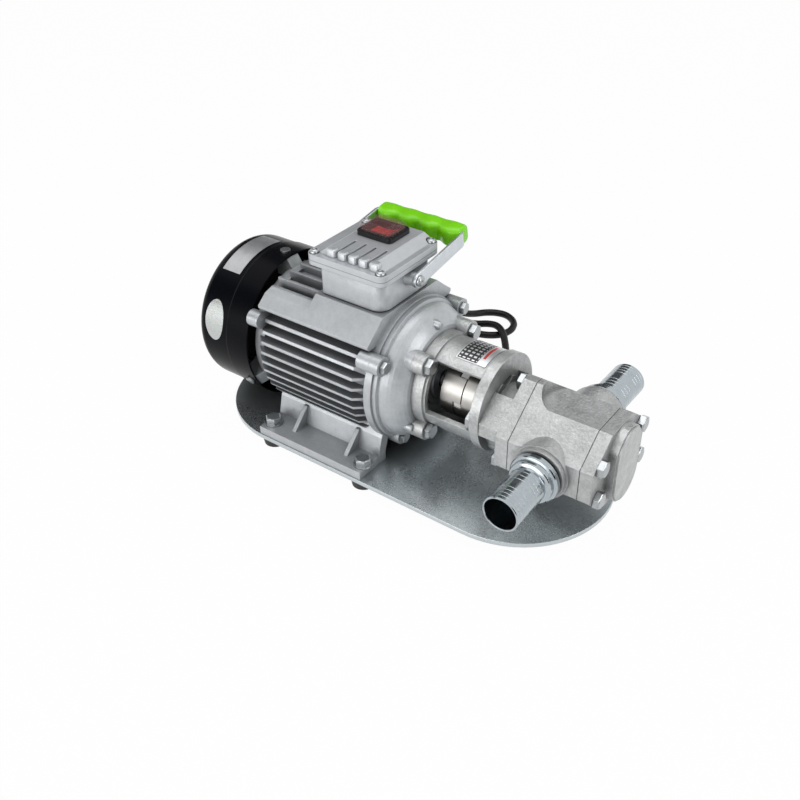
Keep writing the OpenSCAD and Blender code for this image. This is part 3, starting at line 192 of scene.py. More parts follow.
class Surface(Graph):
    """A material's node tree, with its surface shader and the recipes that finishes share."""

    def __init__(self, name: str) -> None:
        """Makes an empty material with its surface shader.

        Args:
            name: The material's name.
        """
        self.material = bpy.data.materials.new(name)
        self.material.use_nodes = True
        self.material.node_tree.nodes.clear()
        super().__init__(self.material.node_tree, "ShaderNodeOutputMaterial")
        surface = self.node("ShaderNodeBsdfPrincipled", {}, {})
        self.shader = surface.socket.node
        self.end(surface)

    def place(self, centre: Point = ORIGIN) -> Link:
        """Gives Object coordinates, moved so that centre is their origin."""
        raw = self.node("ShaderNodeTexCoord", {}, {}, "Object")
        return self.node("ShaderNodeVectorMath", {"operation": "SUBTRACT"}, {0: raw, 1: centre})

    def parts(self, vector: Link) -> tuple[Link, ...]:
        """Splits a vector into X, Y and Z."""
        made = self.node("ShaderNodeSeparateXYZ", {}, {0: vector}).socket.node
        return tuple(Link(self, part) for part in made.outputs)

    def noise(self, where: Link, scale: float, detail: float = 3.0, rough: float = 0.5) -> Link:
        """Gives fractal noise from 0 to 1."""
        inputs = {"Vector": where, "Scale": scale, "Detail": detail, "Roughness": rough}
        return self.node("ShaderNodeTexNoise", {}, inputs)

    def ramp(self, value: Any, low: float, high: float) -> Link:
        """Stretches a value so that low becomes 0 and high becomes 1, held inside 0 to 1."""
        return self.node("ShaderNodeMapRange", {"clamp": True}, {"Value": value, "From Min": low, "From Max": high})

    def blend(self, factor: Any, first: Any, second: Any) -> Link:
        """Mixes two colours.

        Args:
            factor: How much of the second one shows, from 0 to 1.
            first: The first colour.
            second: The second colour.

        Returns:
            The mixed colour.
        """
        made = self.tree.nodes.new("ShaderNodeMix")
        made.data_type = "RGBA"
        sockets = {"Factor_Float": factor, "A_Color": first, "B_Color": second}
        for socket in made.inputs:
            if socket.identifier in sockets:
                self.plug(socket, sockets[socket.identifier])
        return Link(self, next(s for s in made.outputs if s.identifier == "Result_Color"))

    def seams(self, reach: float) -> Link:
        """Gives ambient occlusion for painted shade: 1 in the open and less in seams and corners closer than reach,
        in millimetres.
        """
        return self.node("ShaderNodeAmbientOcclusion", {"samples": 8}, {"Distance": reach * MM}, "AO")

    def soft_edges(self, radius: float) -> Link:
        """Gives a normal that rounds sharp edges by radius, in millimetres."""
        return self.node("ShaderNodeBevel", {"samples": 6}, {"Radius": radius * MM})

    def bump(self, height: Link, depth: float, normal: Link) -> Link:
        """Gives a normal that rises by depth, in millimetres, where height is 1."""
        inputs = {"Strength": 1.0, "Distance": depth * MM, "Height": height, "Normal": normal}
        return self.node("ShaderNodeBump", {}, inputs)

    def set(self, **values: Any) -> None:
        """Sets or links the surface shader's sockets, with _ for each space."""
        for key, value in values.items():
            self.plug(self.shader.inputs[key.replace("_", " ")], value)


@dataclass(frozen=True)
class Finish:
    """A surface finish. Each kind fills a Surface in its own way."""

    name: str
    slot: str
    colour: Colour
    roughness: float
    metallic: float = 0.0
    edge: float = 0.5

    def fill(self, g: Surface) -> None:
        """Is left to each kind of finish."""
        raise NotImplementedError(self.name)

    def darker(self, share: float) -> Colour:
        """Gives the colour at a share of its brightness."""
        return tuple(c * share for c in self.colour)

    def material(self) -> bpy.types.Material:
        """Builds the material once and gives it back.

        Returns:
            The material.
        """
        name = f"finish_{self.name}"
        found = bpy.data.materials.get(name)
        if found is None:
            surface = Surface(name)
            self.fill(surface)
            found = surface.material
        return found


@dataclass(frozen=True)
class Enamel(Finish):
    """Sprayed enamel on a casting or a plate, with soft edges and painted shade in its seams and corners."""

    # shade is the colour of the painted shade in seams, corners and along the parting line; seam sets how far that
    # shade reaches, in millimetres.
    shade: Colour = (0.1, 0.1, 0.1)
    grain: float = 420.0
    grain_depth: float = 0.05
    lumps: float = 90.0
    lump_depth: float = 0.15
    mottle: float = 0.2
    seam: float = 6.0
    seam_shade: float = 0.75
    coat: float = 0.3
    gloss: float = 0.5
    groove_z: float = 0.0
    patches: float = 28.0
    flakes: float = 2600.0
    shares: tuple[float, float, float, float] = (0.35, 0.4, 0.3, 0.2)
    tones: Pair = (0.42, 0.82)
    open_at: Pair = (0.15, 0.85)
    groove_edge: Pair = (0.12, 0.34)

    def fill(self, g: Surface) -> None:
        """Builds mottled paint over a cast skin, with painted shade in its seams and corners and along a parting
        line where one is named.

        Args:
            g: The surface to fill.
        """
        at = g.place()
        patch = g.noise(at, self.patches)
        grain = g.noise(at, self.grain, 4.0, 0.6)
        lump = g.noise(at, self.lumps, 3.0, 0.6)
        flake = g.noise(at, self.flakes, 1.0)
        wide, middle, fine, dots = self.shares
        tone = g.ramp(patch * wide + lump * middle + grain * fine + flake * dots, *self.tones)
        paint = g.blend(tone, self.darker(1 - 2 * self.mottle), self.colour)
        # Painted shade: ambient occlusion darkens seams, corners and recesses towards the shade colour.
        painted_shade_mask = 1.0 - g.ramp(g.seams(self.seam), *self.open_at)
        # More painted shade, as a dark band along the parting line at groove_z.
        if self.groove_z:
            away = abs(g.parts(at)[2] / MM - self.groove_z)
            painted_shade_mask = g.maths("MAXIMUM", painted_shade_mask, 1.0 - g.ramp(away, *self.groove_edge))
        skin = g.bump(lump, self.lump_depth, g.soft_edges(self.edge))
        g.set(
            Base_Color=g.blend(painted_shade_mask * self.seam_shade, paint, self.shade),
            Roughness=self.roughness + (patch - 0.5) * 0.12 + (grain - 0.5) * 0.16 + painted_shade_mask * 0.2,
            Metallic=self.metallic,
            Coat_Weight=self.coat,
            Coat_Roughness=0.18,
            Specular_IOR_Level=self.gloss,
            Normal=g.bump(grain, self.grain_depth, skin),
        )


@dataclass(frozen=True)
class Plated(Finish):
    """Bright plated or bare rolled steel, with faint streaks and spangle."""

    streak: Axis = Axis.X
    streak_depth: float = 0.01
    streaks: float = 900.0
    stretch: float = 15.0
    clouds: float = 160.0
    spangles: float = 700.0
    shares: Pair = (0.7, 0.3)
    tones: Pair = (0.2, 0.8)
    # seam sets how far the painted shade in seams and corners reaches, in millimetres.
    seam: float = 4.0
    seam_shade: float = 0.7
    open_at: Pair = (0.1, 0.8)

    def fill(self, g: Surface) -> None:
        """Builds a metal with cloudy gloss.

        Args:
            g: The surface to fill.
        """
        at = g.place()
        long_way = tuple(self.streaks / self.stretch if part else self.streaks for part in self.streak.value)
        drawn = g.node("ShaderNodeVectorMath", {"operation": "MULTIPLY"}, {0: at, 1: long_way})
        streaks = g.noise(drawn, 1.0)
        cloud = g.noise(at, self.clouds)
        spangle = g.node("ShaderNodeTexVoronoi", {}, {"Vector": at, "Scale": self.spangles}, "Distance")
        wide, fine = self.shares
        tone = g.ramp(cloud * wide + spangle * fine, *self.tones)
        # Painted shade: ambient occlusion darkens seams and corners towards a fifth of the metal's colour.
        painted_shade_mask = 1.0 - g.ramp(g.seams(self.seam), *self.open_at)
        metal = g.blend(tone, self.darker(0.82), self.colour)
        g.set(
            Base_Color=g.blend(painted_shade_mask * self.seam_shade, metal, self.darker(0.2)),
            Roughness=self.roughness + (streaks - 0.5) * 0.16 + (cloud - 0.5) * 0.1,
            Metallic=self.metallic,
            Normal=g.bump(streaks, self.streak_depth, g.soft_edges(self.edge)),
        )


@dataclass(frozen=True)
class Turned(Finish):
    """Steel or alloy that was turned on a lathe, with rings about the shaft's axis."""

    pitch: float = 0.35
    # reach sets how far the painted shade in seams and corners reaches, in millimetres.
    reach: float = 6.0
    clouds: float = 120.0
    smears: float = 1500.0
    ring_depth: float = 0.006
    seam_shade: float = 0.7
    open_at: Pair = (0.1, 0.8)

    def fill(self, g: Surface) -> None:
        """Builds tool rings on the faces and round the sides.

        Args:
            g: The surface to fill.
        """
        at = g.place((0.0, 0.0, AXIS_Z * MM))
        along, across, up = g.parts(at)
        radius = (across * across + up * up) ** 0.5
        rings = g.maths("SINE", (radius + along) * (2 * math.pi / (self.pitch * MM)))
        cloud = g.noise(at, self.clouds)
        smear = g.noise(at, self.smears, 2.0)
        # Painted shade: ambient occlusion darkens seams and corners towards the darkest colour.
        painted_shade_mask = 1.0 - g.ramp(g.seams(self.reach), *self.open_at)
        metal = g.blend(cloud, self.darker(0.8), self.colour)
        g.set(
            Base_Color=g.blend(painted_shade_mask * self.seam_shade, metal, self.darker(0.15)),
            Roughness=self.roughness + (cloud - 0.5) * 0.14 + rings * 0.03,
            Metallic=self.metallic,
            Normal=g.bump(rings * 0.5 + smear * 0.3, self.ring_depth, g.soft_edges(self.edge)),
        )


@dataclass(frozen=True)
class Moulded(Finish):
    """Moulded plastic or rubber, with a fine skin."""

    grain: float = 900.0
    grain_depth: float = 0.02
    coat: float = 0.0
    glow: float = 0.0
    clear: float = 1.0
    gloss: float = 0.5
    clouds: float = 70.0

    def fill(self, g: Surface) -> None:
        """Builds a plastic with slight clouds and a fine grain.

        Args:
            g: The surface to fill.
        """
        at = g.place()
        cloud = g.noise(at, self.clouds)
        grain = g.noise(at, self.grain)
        g.set(
            Base_Color=g.blend(cloud, self.darker(0.8), self.colour),
            Roughness=self.roughness + (cloud - 0.5) * 0.12 + (grain - 0.5) * 0.06,
            Metallic=self.metallic,
            Coat_Weight=self.coat,
            Coat_Roughness=0.08,
            Alpha=self.clear,
            Subsurface_Weight=self.glow,
            Subsurface_Scale=0.004,
            Specular_IOR_Level=self.gloss,
            Normal=g.bump(grain, self.grain_depth, g.soft_edges(self.edge)),
        )


@dataclass(frozen=True)
class RatingPlate(Finish):
    """A bare rating plate: an empty printed table and one plain bar on silver."""

    start: float = 51.0
    length: float = 28.0
    top_angle: float = 112.0
    sweep: float = 52.0
    rows: int = 9
    columns: int = 4
    table: float = 0.62
    ink: Colour = (0.02, 0.02, 0.022)
    bar: Colour = (0.55, 0.03, 0.03)

    def fill(self, g: Surface) -> None:
        """Draws the empty table round the bracket's shell.

        Args:
            g: The surface to fill.
        """
        x, y, z = g.parts(g.place((0.0, 0.0, AXIS_Z * MM)))
        angle = g.maths("ARCTAN2", z, y) * (180 / math.pi)
        along = (x / MM - self.start) / self.length
        around = (self.top_angle - angle) / self.sweep
        inside = (along > 0.06) * (along < 0.06 + self.table) * (around > 0.05) * (around < 0.95)
        column = abs(along * (self.columns / self.table) % 1.0 - 0.5)
        row = abs((around * self.rows) % 1.0 - 0.5)
        cell = (column < 0.3) * (row < 0.24)
        slant = along + around * 0.05
        bar = (slant > 0.78) * (slant < 0.86) * (around > 0.2) * (around < 0.8)
        grain = g.noise(g.place(), 1200.0, 2.0)
        field = (along > 0.03) * (along < 0.7) * (around > 0.02) * (around < 0.98)
        black = field * (1.0 - inside * cell)
        g.set(
            Base_Color=g.blend(bar, g.blend(black, self.colour, self.ink), self.bar),
            Roughness=self.roughness + (grain - 0.5) * 0.1,
            Metallic=(1.0 - black) * (1.0 - bar) * self.metallic,
            Normal=g.bump(black * -1.0, 0.03, g.soft_edges(0.2)),
        )


@dataclass(frozen=True)
class PrismFoil(Finish):
    """A plain prism foil: small dots that each lean to another tint."""

    dots: float = 620.0
    tint: float = 0.35
    under: Colour = (0.1, 0.3, 0.2)

    def fill(self, g: Surface) -> None:
        """Scatters tinted dots over silver foil.

        Args:
            g: The surface to fill.
        """
        where = {"Vector": g.place(), "Scale": self.dots, "Randomness": 0.3}
        cells = g.node("ShaderNodeTexVoronoi", {}, where, "Color")
        reach = g.node("ShaderNodeTexVoronoi", {}, where, "Distance")
        dot = 1.0 - g.ramp(reach, 0.3, 0.42)
        g.set(
            Base_Color=g.blend(dot * self.tint, self.colour, g.blend(0.4, cells, self.under)),
            Roughness=self.roughness + dot * 0.1,
            Metallic=self.metallic,
            Normal=g.bump(dot, 0.02, g.soft_edges(0.1)),
        )


# The shade colours and the seam and reach values below set the painted shade in seams, corners and recesses.
MOTOR_ENAMEL = Enamel(
    "motor_enamel", "motor_paint", (0.57, 0.59, 0.61), 0.38, 0.54, 0.8, (0.075, 0.08, 0.085),
    grain=650.0, grain_depth=0.12, lumps=150.0, lump_depth=0.2, mottle=0.13, seam=18.0, seam_shade=0.8, coat=0.08,
)
LID_ENAMEL = Enamel(
    "lid_enamel", "motor_paint", (0.62, 0.64, 0.66), 0.4, 0.5, 0.9, (0.035, 0.038, 0.042),
    grain=650.0, grain_depth=0.08, lumps=150.0, lump_depth=0.12, mottle=0.08, seam=2.0, coat=0.1, groove_z=182.6,
)
PUMP_ENAMEL = Enamel(
    "pump_enamel", "pump_paint", (0.62, 0.63, 0.63), 0.4, 0.7, 0.9, (0.04, 0.042, 0.042),
    grain=520.0, grain_depth=0.28, lumps=130.0, lump_depth=0.4, mottle=0.22, seam=20.0, coat=0.05,
)
PLATE_ENAMEL = Enamel(
    "plate_enamel", "plate_paint", (0.64, 0.69, 0.71), 0.27, 0.9, 0.6, (0.03, 0.036, 0.04),
    grain=300.0, grain_depth=0.006, lumps=40.0, lump_depth=0.03, mottle=0.04, seam=30.0, coat=0.15,
)
COVER_BLACK = Enamel(
    "cover_black", "cover_black", (0.003, 0.0034, 0.005), 0.24, 0.0, 0.6, (0.001, 0.001, 0.001),
    grain=1400.0, grain_depth=0.02, lumps=40.0, lump_depth=0.06, mottle=0.05, coat=0.0, gloss=0.06,
)
ZINC = Plated("bright_zinc", "zinc_steel", (0.46, 0.48, 0.49), 0.3, 1.0, 0.35)
TAIL_ZINC = Plated("tail_zinc", "tail_zinc", (0.46, 0.51, 0.54), 0.18, 1.0, 0.2, streak=Axis.Y)
STRAP_ZINC = Plated("strap_zinc", "strap_zinc", (0.66, 0.7, 0.73), 0.34, 1.0, 0.5)
COUPLING_STEEL = Turned("coupling_steel", "coupling_steel", (0.5, 0.485, 0.46), 0.34, 1.0, 0.4, reach=22.0)
SHAFT_STEEL = Turned("shaft_steel", "shaft_steel", (0.62, 0.63, 0.65), 0.22, 1.0, 0.2)
BEARING_STEEL = Turned("bearing_steel", "bearing_steel", (0.66, 0.67, 0.69), 0.2, 1.0, 0.2)
CORE_STEEL = Turned("core_steel", "core_steel", (0.22, 0.22, 0.23), 0.45, 0.9, 0.2, pitch=0.5)
BLOCK_ALLOY = Turned("block_alloy", "block_alloy", (0.62, 0.55, 0.38), 0.35, 0.9, 0.3)
COPPER = Plated("winding_copper", "winding_copper", (0.62, 0.27, 0.1), 0.35, 0.9, 0.2)
RUBBER = Moulded("foot_rubber", "foot_rubber", (0.018, 0.018, 0.019), 0.6, edge=0.8)
SEAL_RUBBER = Moulded("seal_rubber", "seal_rubber", (0.012, 0.012, 0.013), 0.45, edge=0.3)
FAN_PLASTIC = Moulded("fan_plastic", "fan_plastic", (0.03, 0.03, 0.032), 0.45)
BOARD = Moulded("board_plastic", "board_plastic", (0.12, 0.05, 0.02), 0.5)
SPIDER = Moulded("spider_plastic", "spider_plastic", (0.78, 0.78, 0.76), 0.4, glow=0.1)
SWITCH_BLACK = Moulded("switch_black", "switch_black", (0.006, 0.006, 0.007), 0.28, coat=0.1, gloss=0.3)
SWITCH_RED = Moulded("switch_red", "switch_red", (0.7, 0.03, 0.025), 0.2, coat=0.5, glow=0.22)
SWITCH_CLEAR = Moulded("switch_clear", "switch_clear", (0.6, 0.3, 0.29), 0.05, coat=0.3, clear=0.12)
GLAND = Moulded("gland_plastic", "gland_plastic", (0.02, 0.02, 0.022), 0.4)
GRIP_GREEN = Moulded(
    "grip_green", "grip_green", (0.28, 0.92, 0.004), 0.26, edge=0.6, grain=160.0, grain_depth=0.08,
    coat=0.15, glow=0.07, gloss=0.35,
)
CORD_SHEATH = Moulded("cord_sheath", "cord_rubber", (0.005, 0.005, 0.006), 0.4, grain=700.0, gloss=0.25)
PLATE_SILVER = RatingPlate("plate_silver", "plate_silver", (0.7, 0.71, 0.72), 0.35, 0.8)
LABEL_SILVER = Plated("label_silver", "plate_silver", (0.55, 0.56, 0.57), 0.35, 0.8, 0.2)
BADGE_FOIL = PrismFoil("badge_foil", "plate_silver", (0.55, 0.57, 0.56), 0.25, 0.8)

CAD_FINISHES: dict[Finish, tuple[str, ...]] = {
    PLATE_ENAMEL: ("base_plate",),
    RUBBER: ("rubber_feet",),
    ZINC: ("foot_nuts", "foot_studs", "fan_cover_screws", "dowel_pins"),
    MOTOR_ENAMEL: ("motor_frame", "rear_shield", "front_shield"),
    LID_ENAMEL: ("terminal_lid",),
    PUMP_ENAMEL: ("lantern_bracket", "pump_rear_cover", "pump_case", "pump_front_cover"),
    CORE_STEEL: ("stator_core", "rotor_core"),
    COPPER: ("stator_windings",),
    BEARING_STEEL: ("rear_bearing", "front_bearing"),
    SHAFT_STEEL: ("motor_shaft", "drive_gear", "driven_gear"),
    COUPLING_STEEL: ("motor_coupling", "pump_coupling"),
    SPIDER: ("coupling_spider",),
    COVER_BLACK: ("fan_cover",),
    FAN_PLASTIC: ("cooling_fan",),
    SEAL_RUBBER: ("box_gasket", "cover_gaskets", "shaft_seal", "port_seals"),
    BOARD: ("terminal_board",),
    SWITCH_BLACK: ("switch_housing",),
    SWITCH_RED: ("switch_rocker",),
    SWITCH_CLEAR: ("switch_cover",),
    GLAND: ("cable_gland",),
    PLATE_SILVER: ("data_plate",),
    BLOCK_ALLOY: ("bearing_blocks",),
}


def squared(angle: float, power: float) -> Pair:
    """Gives the cosine and sine of an angle, pulled towards a square where power is under 1."""
    pair = (math.cos(angle), math.sin(angle))
    return tuple(math.copysign(abs(part) ** power, part) for part in pair)


def facing(where: Sequence[float], way: Vector, front: str = "Z") -> Matrix:
    """Gives the place of a thing at a point, with its front axis along a direction."""
    turn = way.normalized().to_track_quat(front, "Y")
    return Matrix.Translation(where) @ turn.to_matrix().to_4x4()


def placed(point: Sequence[float], quarters: int = 0, axis: str = "Y") -> Matrix:
    """Gives the place of a turned part at a point in millimetres, tipped by quarter turns."""
    return Matrix.Translation(Vector(point) * MM) @ Matrix.Rotation(quarters * math.pi / 2, 4, axis)


def added(name: str, data: Any) -> bpy.types.Object:
    """Puts a new object into the scene.

    Args:
        name: The object's name.
        data: Its mesh, curve, lamp or camera.

    Returns:
        The object.
    """
    made = bpy.data.objects.new(name, data)
    bpy.context.scene.collection.objects.link(made)
    return made


class Workshop:
    """Makes finished pieces from meshes and sets each on its body, in place of the CAD nodes that it stands for."""

    @staticmethod
    def piece(
        name: str, mesh: bpy.types.Mesh, finish: Finish, stands_for: Sequence[str] = (),
        angle: float = 35.0, body: Body = Body.SET,
    ) -> bpy.types.Object:
        """Turns a mesh into a piece that rides on a body.

        Args:
            name: The piece's name.
            mesh: The mesh, in place, in metres.
            finish: What it is finished with.
            stands_for: CAD nodes that it replaces.
            angle: Edges sharper than this, in degrees, stay sharp.
            body: The body that carries it.

        Returns:
            The new object.
        """
        made = added(name, mesh)
        mesh.materials.clear()
        mesh.materials.append(finish.material())
        mesh.shade_smooth()
        mesh.set_sharp_from_angle(angle=math.radians(angle))
        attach(made, body.value)
        if stands_for:
            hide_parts(*stands_for)
        LOG.info("piece %s: %d faces", name, len(mesh.polygons))
        return made

    @staticmethod
    def from_bmesh(name: str, bm: bmesh.types.BMesh) -> bpy.types.Mesh:
        """Cleans a bmesh and turns it into a mesh with faces outwards.

        Args:
            name: The mesh's name.
            bm: The bmesh, which is freed.

        Returns:
            The mesh.
        """
        bmesh.ops.remove_doubles(bm, verts=bm.verts, dist=1e-6)
        bmesh.ops.recalc_face_normals(bm, faces=bm.faces)
        mesh = bpy.data.meshes.new(name)
        bm.to_mesh(mesh)
        bm.free()
        return mesh

    @staticmethod
    def loft(name: str, sections: Sequence[Sequence[Vector]]) -> bpy.types.Mesh:
        """Joins rings of equal length into a closed skin with capped ends.

        Args:
            name: The mesh's name.
            sections: Rings of points, in metres.

        Returns:
            The mesh.
        """
        bm = bmesh.new()
        rings = [[bm.verts.new(p) for p in ring] for ring in sections]
        for first, second in zip(rings, rings[1:]):
            count = len(first)
            for i in range(count):
                j = (i + 1) % count
                bm.faces.new((first[i], first[j], second[j], second[i]))
        bm.faces.new(rings[0])
        bm.faces.new(rings[-1])
        return Workshop.from_bmesh(name, bm)

    @staticmethod
    def turned(name: str, profile: Sequence[Pair], place: Matrix, steps: int) -> bpy.types.Mesh:
        """Turns a closed profile of radius and height about local Z.

        Args:
            name: The mesh's name.
            profile: Radius and height pairs in millimetres, from the axis round to the axis.
            place: Where local Z goes.
            steps: Faces round the part.

        Returns:
            The mesh.
        """
        bm = bmesh.new()
        rings = []
        for radius, height in profile:
            turns = [2 * math.pi * i / steps for i in range(steps if radius > 0 else 1)]
            points = [Vector((radius * math.cos(a), radius * math.sin(a), height)) * MM for a in turns]
            rings.append([bm.verts.new(place @ point) for point in points])
        for first, second in zip(rings, rings[1:]):
            for i in range(steps):
                around = ((first, i), (first, i + 1), (second, i + 1), (second, i))
                corners = list(dict.fromkeys(ring[k % len(ring)] for ring, k in around))
                if len(corners) > 2:
                    bm.faces.new(corners)
        return Workshop.from_bmesh(name, bm)


@dataclass
class Studio:
    """The camera, the lamps, the floor and the white surroundings."""

    eye: Point = (0.40803, -0.56468, 0.549)
    right: Point = (0.80544, 0.59245, -0.01648)
    down: Point = (0.33461, -0.47751, -0.81242)
    ahead: Point = (-0.48919, 0.64884, -0.58284)
    focal_px: float = 958.87
    middle_px: Pair = (400.63, 399.72)
    frame_px: float = 800.0
    sky: Colour = (0.96, 0.98, 1.0)
    sky_strength: float = 0.36
    floor_half: float = 6.0
    floor_drop: float = 0.0002
    floor_white: float = 0.975
    floor_shade: float = 0.9
    floor_rough: float = 0.6
    card_rough: float = 0.9

    def camera(self) -> None:
        """Sets the camera where the photograph was taken from."""
        data = bpy.data.cameras.new("photo_camera")
        data.sensor_width = 36.0
        data.lens = self.focal_px / self.frame_px * data.sensor_width
        data.shift_x = (self.frame_px / 2 - self.middle_px[0]) / self.frame_px
        data.shift_y = (self.middle_px[1] - self.frame_px / 2) / self.frame_px
        data.clip_start = 0.01
        made = added("photo_camera", data)
        turn = Matrix((self.right, tuple(-c for c in self.down), tuple(-c for c in self.ahead))).transposed()
        made.matrix_world = Matrix.Translation(self.eye) @ turn.to_4x4()
        bpy.context.scene.camera = made

    def surroundings(self) -> None:
        """Makes the world white to the eye and in reflections, and plain for the light it gives."""
        world = bpy.data.worlds.new("white_room")
        bpy.context.scene.world = world
        world.use_nodes = True
        world.node_tree.nodes.clear()
        g = Graph(world.node_tree, "ShaderNodeOutputWorld")
        lit = g.node("ShaderNodeBackground", {}, {"Color": self.sky, "Strength": self.sky_strength})
        seen = g.node("ShaderNodeBackground", {}, {"Color": WHITE})
        g.end(g.node("ShaderNodeMixShader", {}, {0: g.background_rays(), 1: lit, 2: seen}))

    @staticmethod
    def sheet(name: str, half: float, shade: float, roughness: float) -> tuple[bpy.types.Object, Surface]:
        """Makes one square sheet for the stage.

        Args:
            name: Its name, and its material's.
            half: Half of its side, in metres.
            shade: Its grey.
            roughness: Its roughness.

        Returns:
            The object and its surface.
        """
        bm = bmesh.new()
        bmesh.ops.create_grid(bm, x_segments=1, y_segments=1, size=half)
        mesh = bpy.data.meshes.new(name)
        bm.to_mesh(mesh)
        bm.free()
        surface = Surface(name)
        surface.set(Base_Color=(shade, shade, shade), Roughness=roughness)
        mesh.materials.append(surface.material)
        return added(name, mesh), surface

    def floor(self) -> None:
        """Lays a pale floor that keeps a soft shadow."""
        made, g = self.sheet("floor", self.floor_half, self.floor_shade, self.floor_rough)
        made.location.z = -self.floor_drop
        white = g.node("ShaderNodeEmission", {}, {})
        plain = Link(g, g.shader.outputs[0])
        g.end(g.node("ShaderNodeMixShader", {}, {0: g.background_rays() * self.floor_white, 1: plain, 2: white}))

    def lamp(self, name: str, where: Point, aim: Point, size: Pair, watts: float) -> None:
        """Hangs one soft box.

        Args:
            name: The lamp's name.
            where: Its place, in metres.
            aim: The point that it faces.
            size: Its width and height, in metres.
            watts: Its power.
        """
        data = bpy.data.lights.new(name, "AREA")
        data.shape = "RECTANGLE"
        data.size, data.size_y = size
        data.energy = watts
        added(name, data).matrix_world = facing(where, Vector(aim) - Vector(where), "-Z")

    def card(self, name: str, where: Point, aim: Point, size: float, shade: float) -> None:
        """Stands a dark card out of view, for the metal to reflect.

        Args:
            name: The card's name.
            where: Its place, in metres.
            aim: The point that it faces.
            size: Its side, in metres.
            shade: Its grey.
        """
        made, _ = self.sheet(name, size / 2, shade, self.card_rough)
        made.matrix_world = facing(where, Vector(aim) - Vector(where))
        made.visible_camera = made.visible_shadow = made.visible_diffuse = False

    def build(self) -> None:
        """Sets up the whole studio."""
        self.surroundings()
        self.floor()
        self.lamp("top_box", (-0.2, 0.1, 1.5), (0, 0, 0.08), (1.2, 1.0), 6.5)
        self.lamp("near_box", (-0.3, -1.5, 0.42), (0, 0, 0.1), (1.7, 0.9), 11.0)
        self.lamp("right_box", (1.2, 0.1, 0.6), (0.1, 0, 0.1), (0.4, 0.9), 4.0)
        self.card("front_card", (1.3, -0.9, 0.5), (0, 0, 0.1), 1.0, 0.03)
        self.card("side_card", (-1.15, -0.75, 0.75), (0, 0, 0.1), 0.75, 0.03)
        self.card("back_card", (-0.85, 1.15, 0.95), (0, 0, 0.05), 1.5, 0.16)
        LOG.info("studio ready")


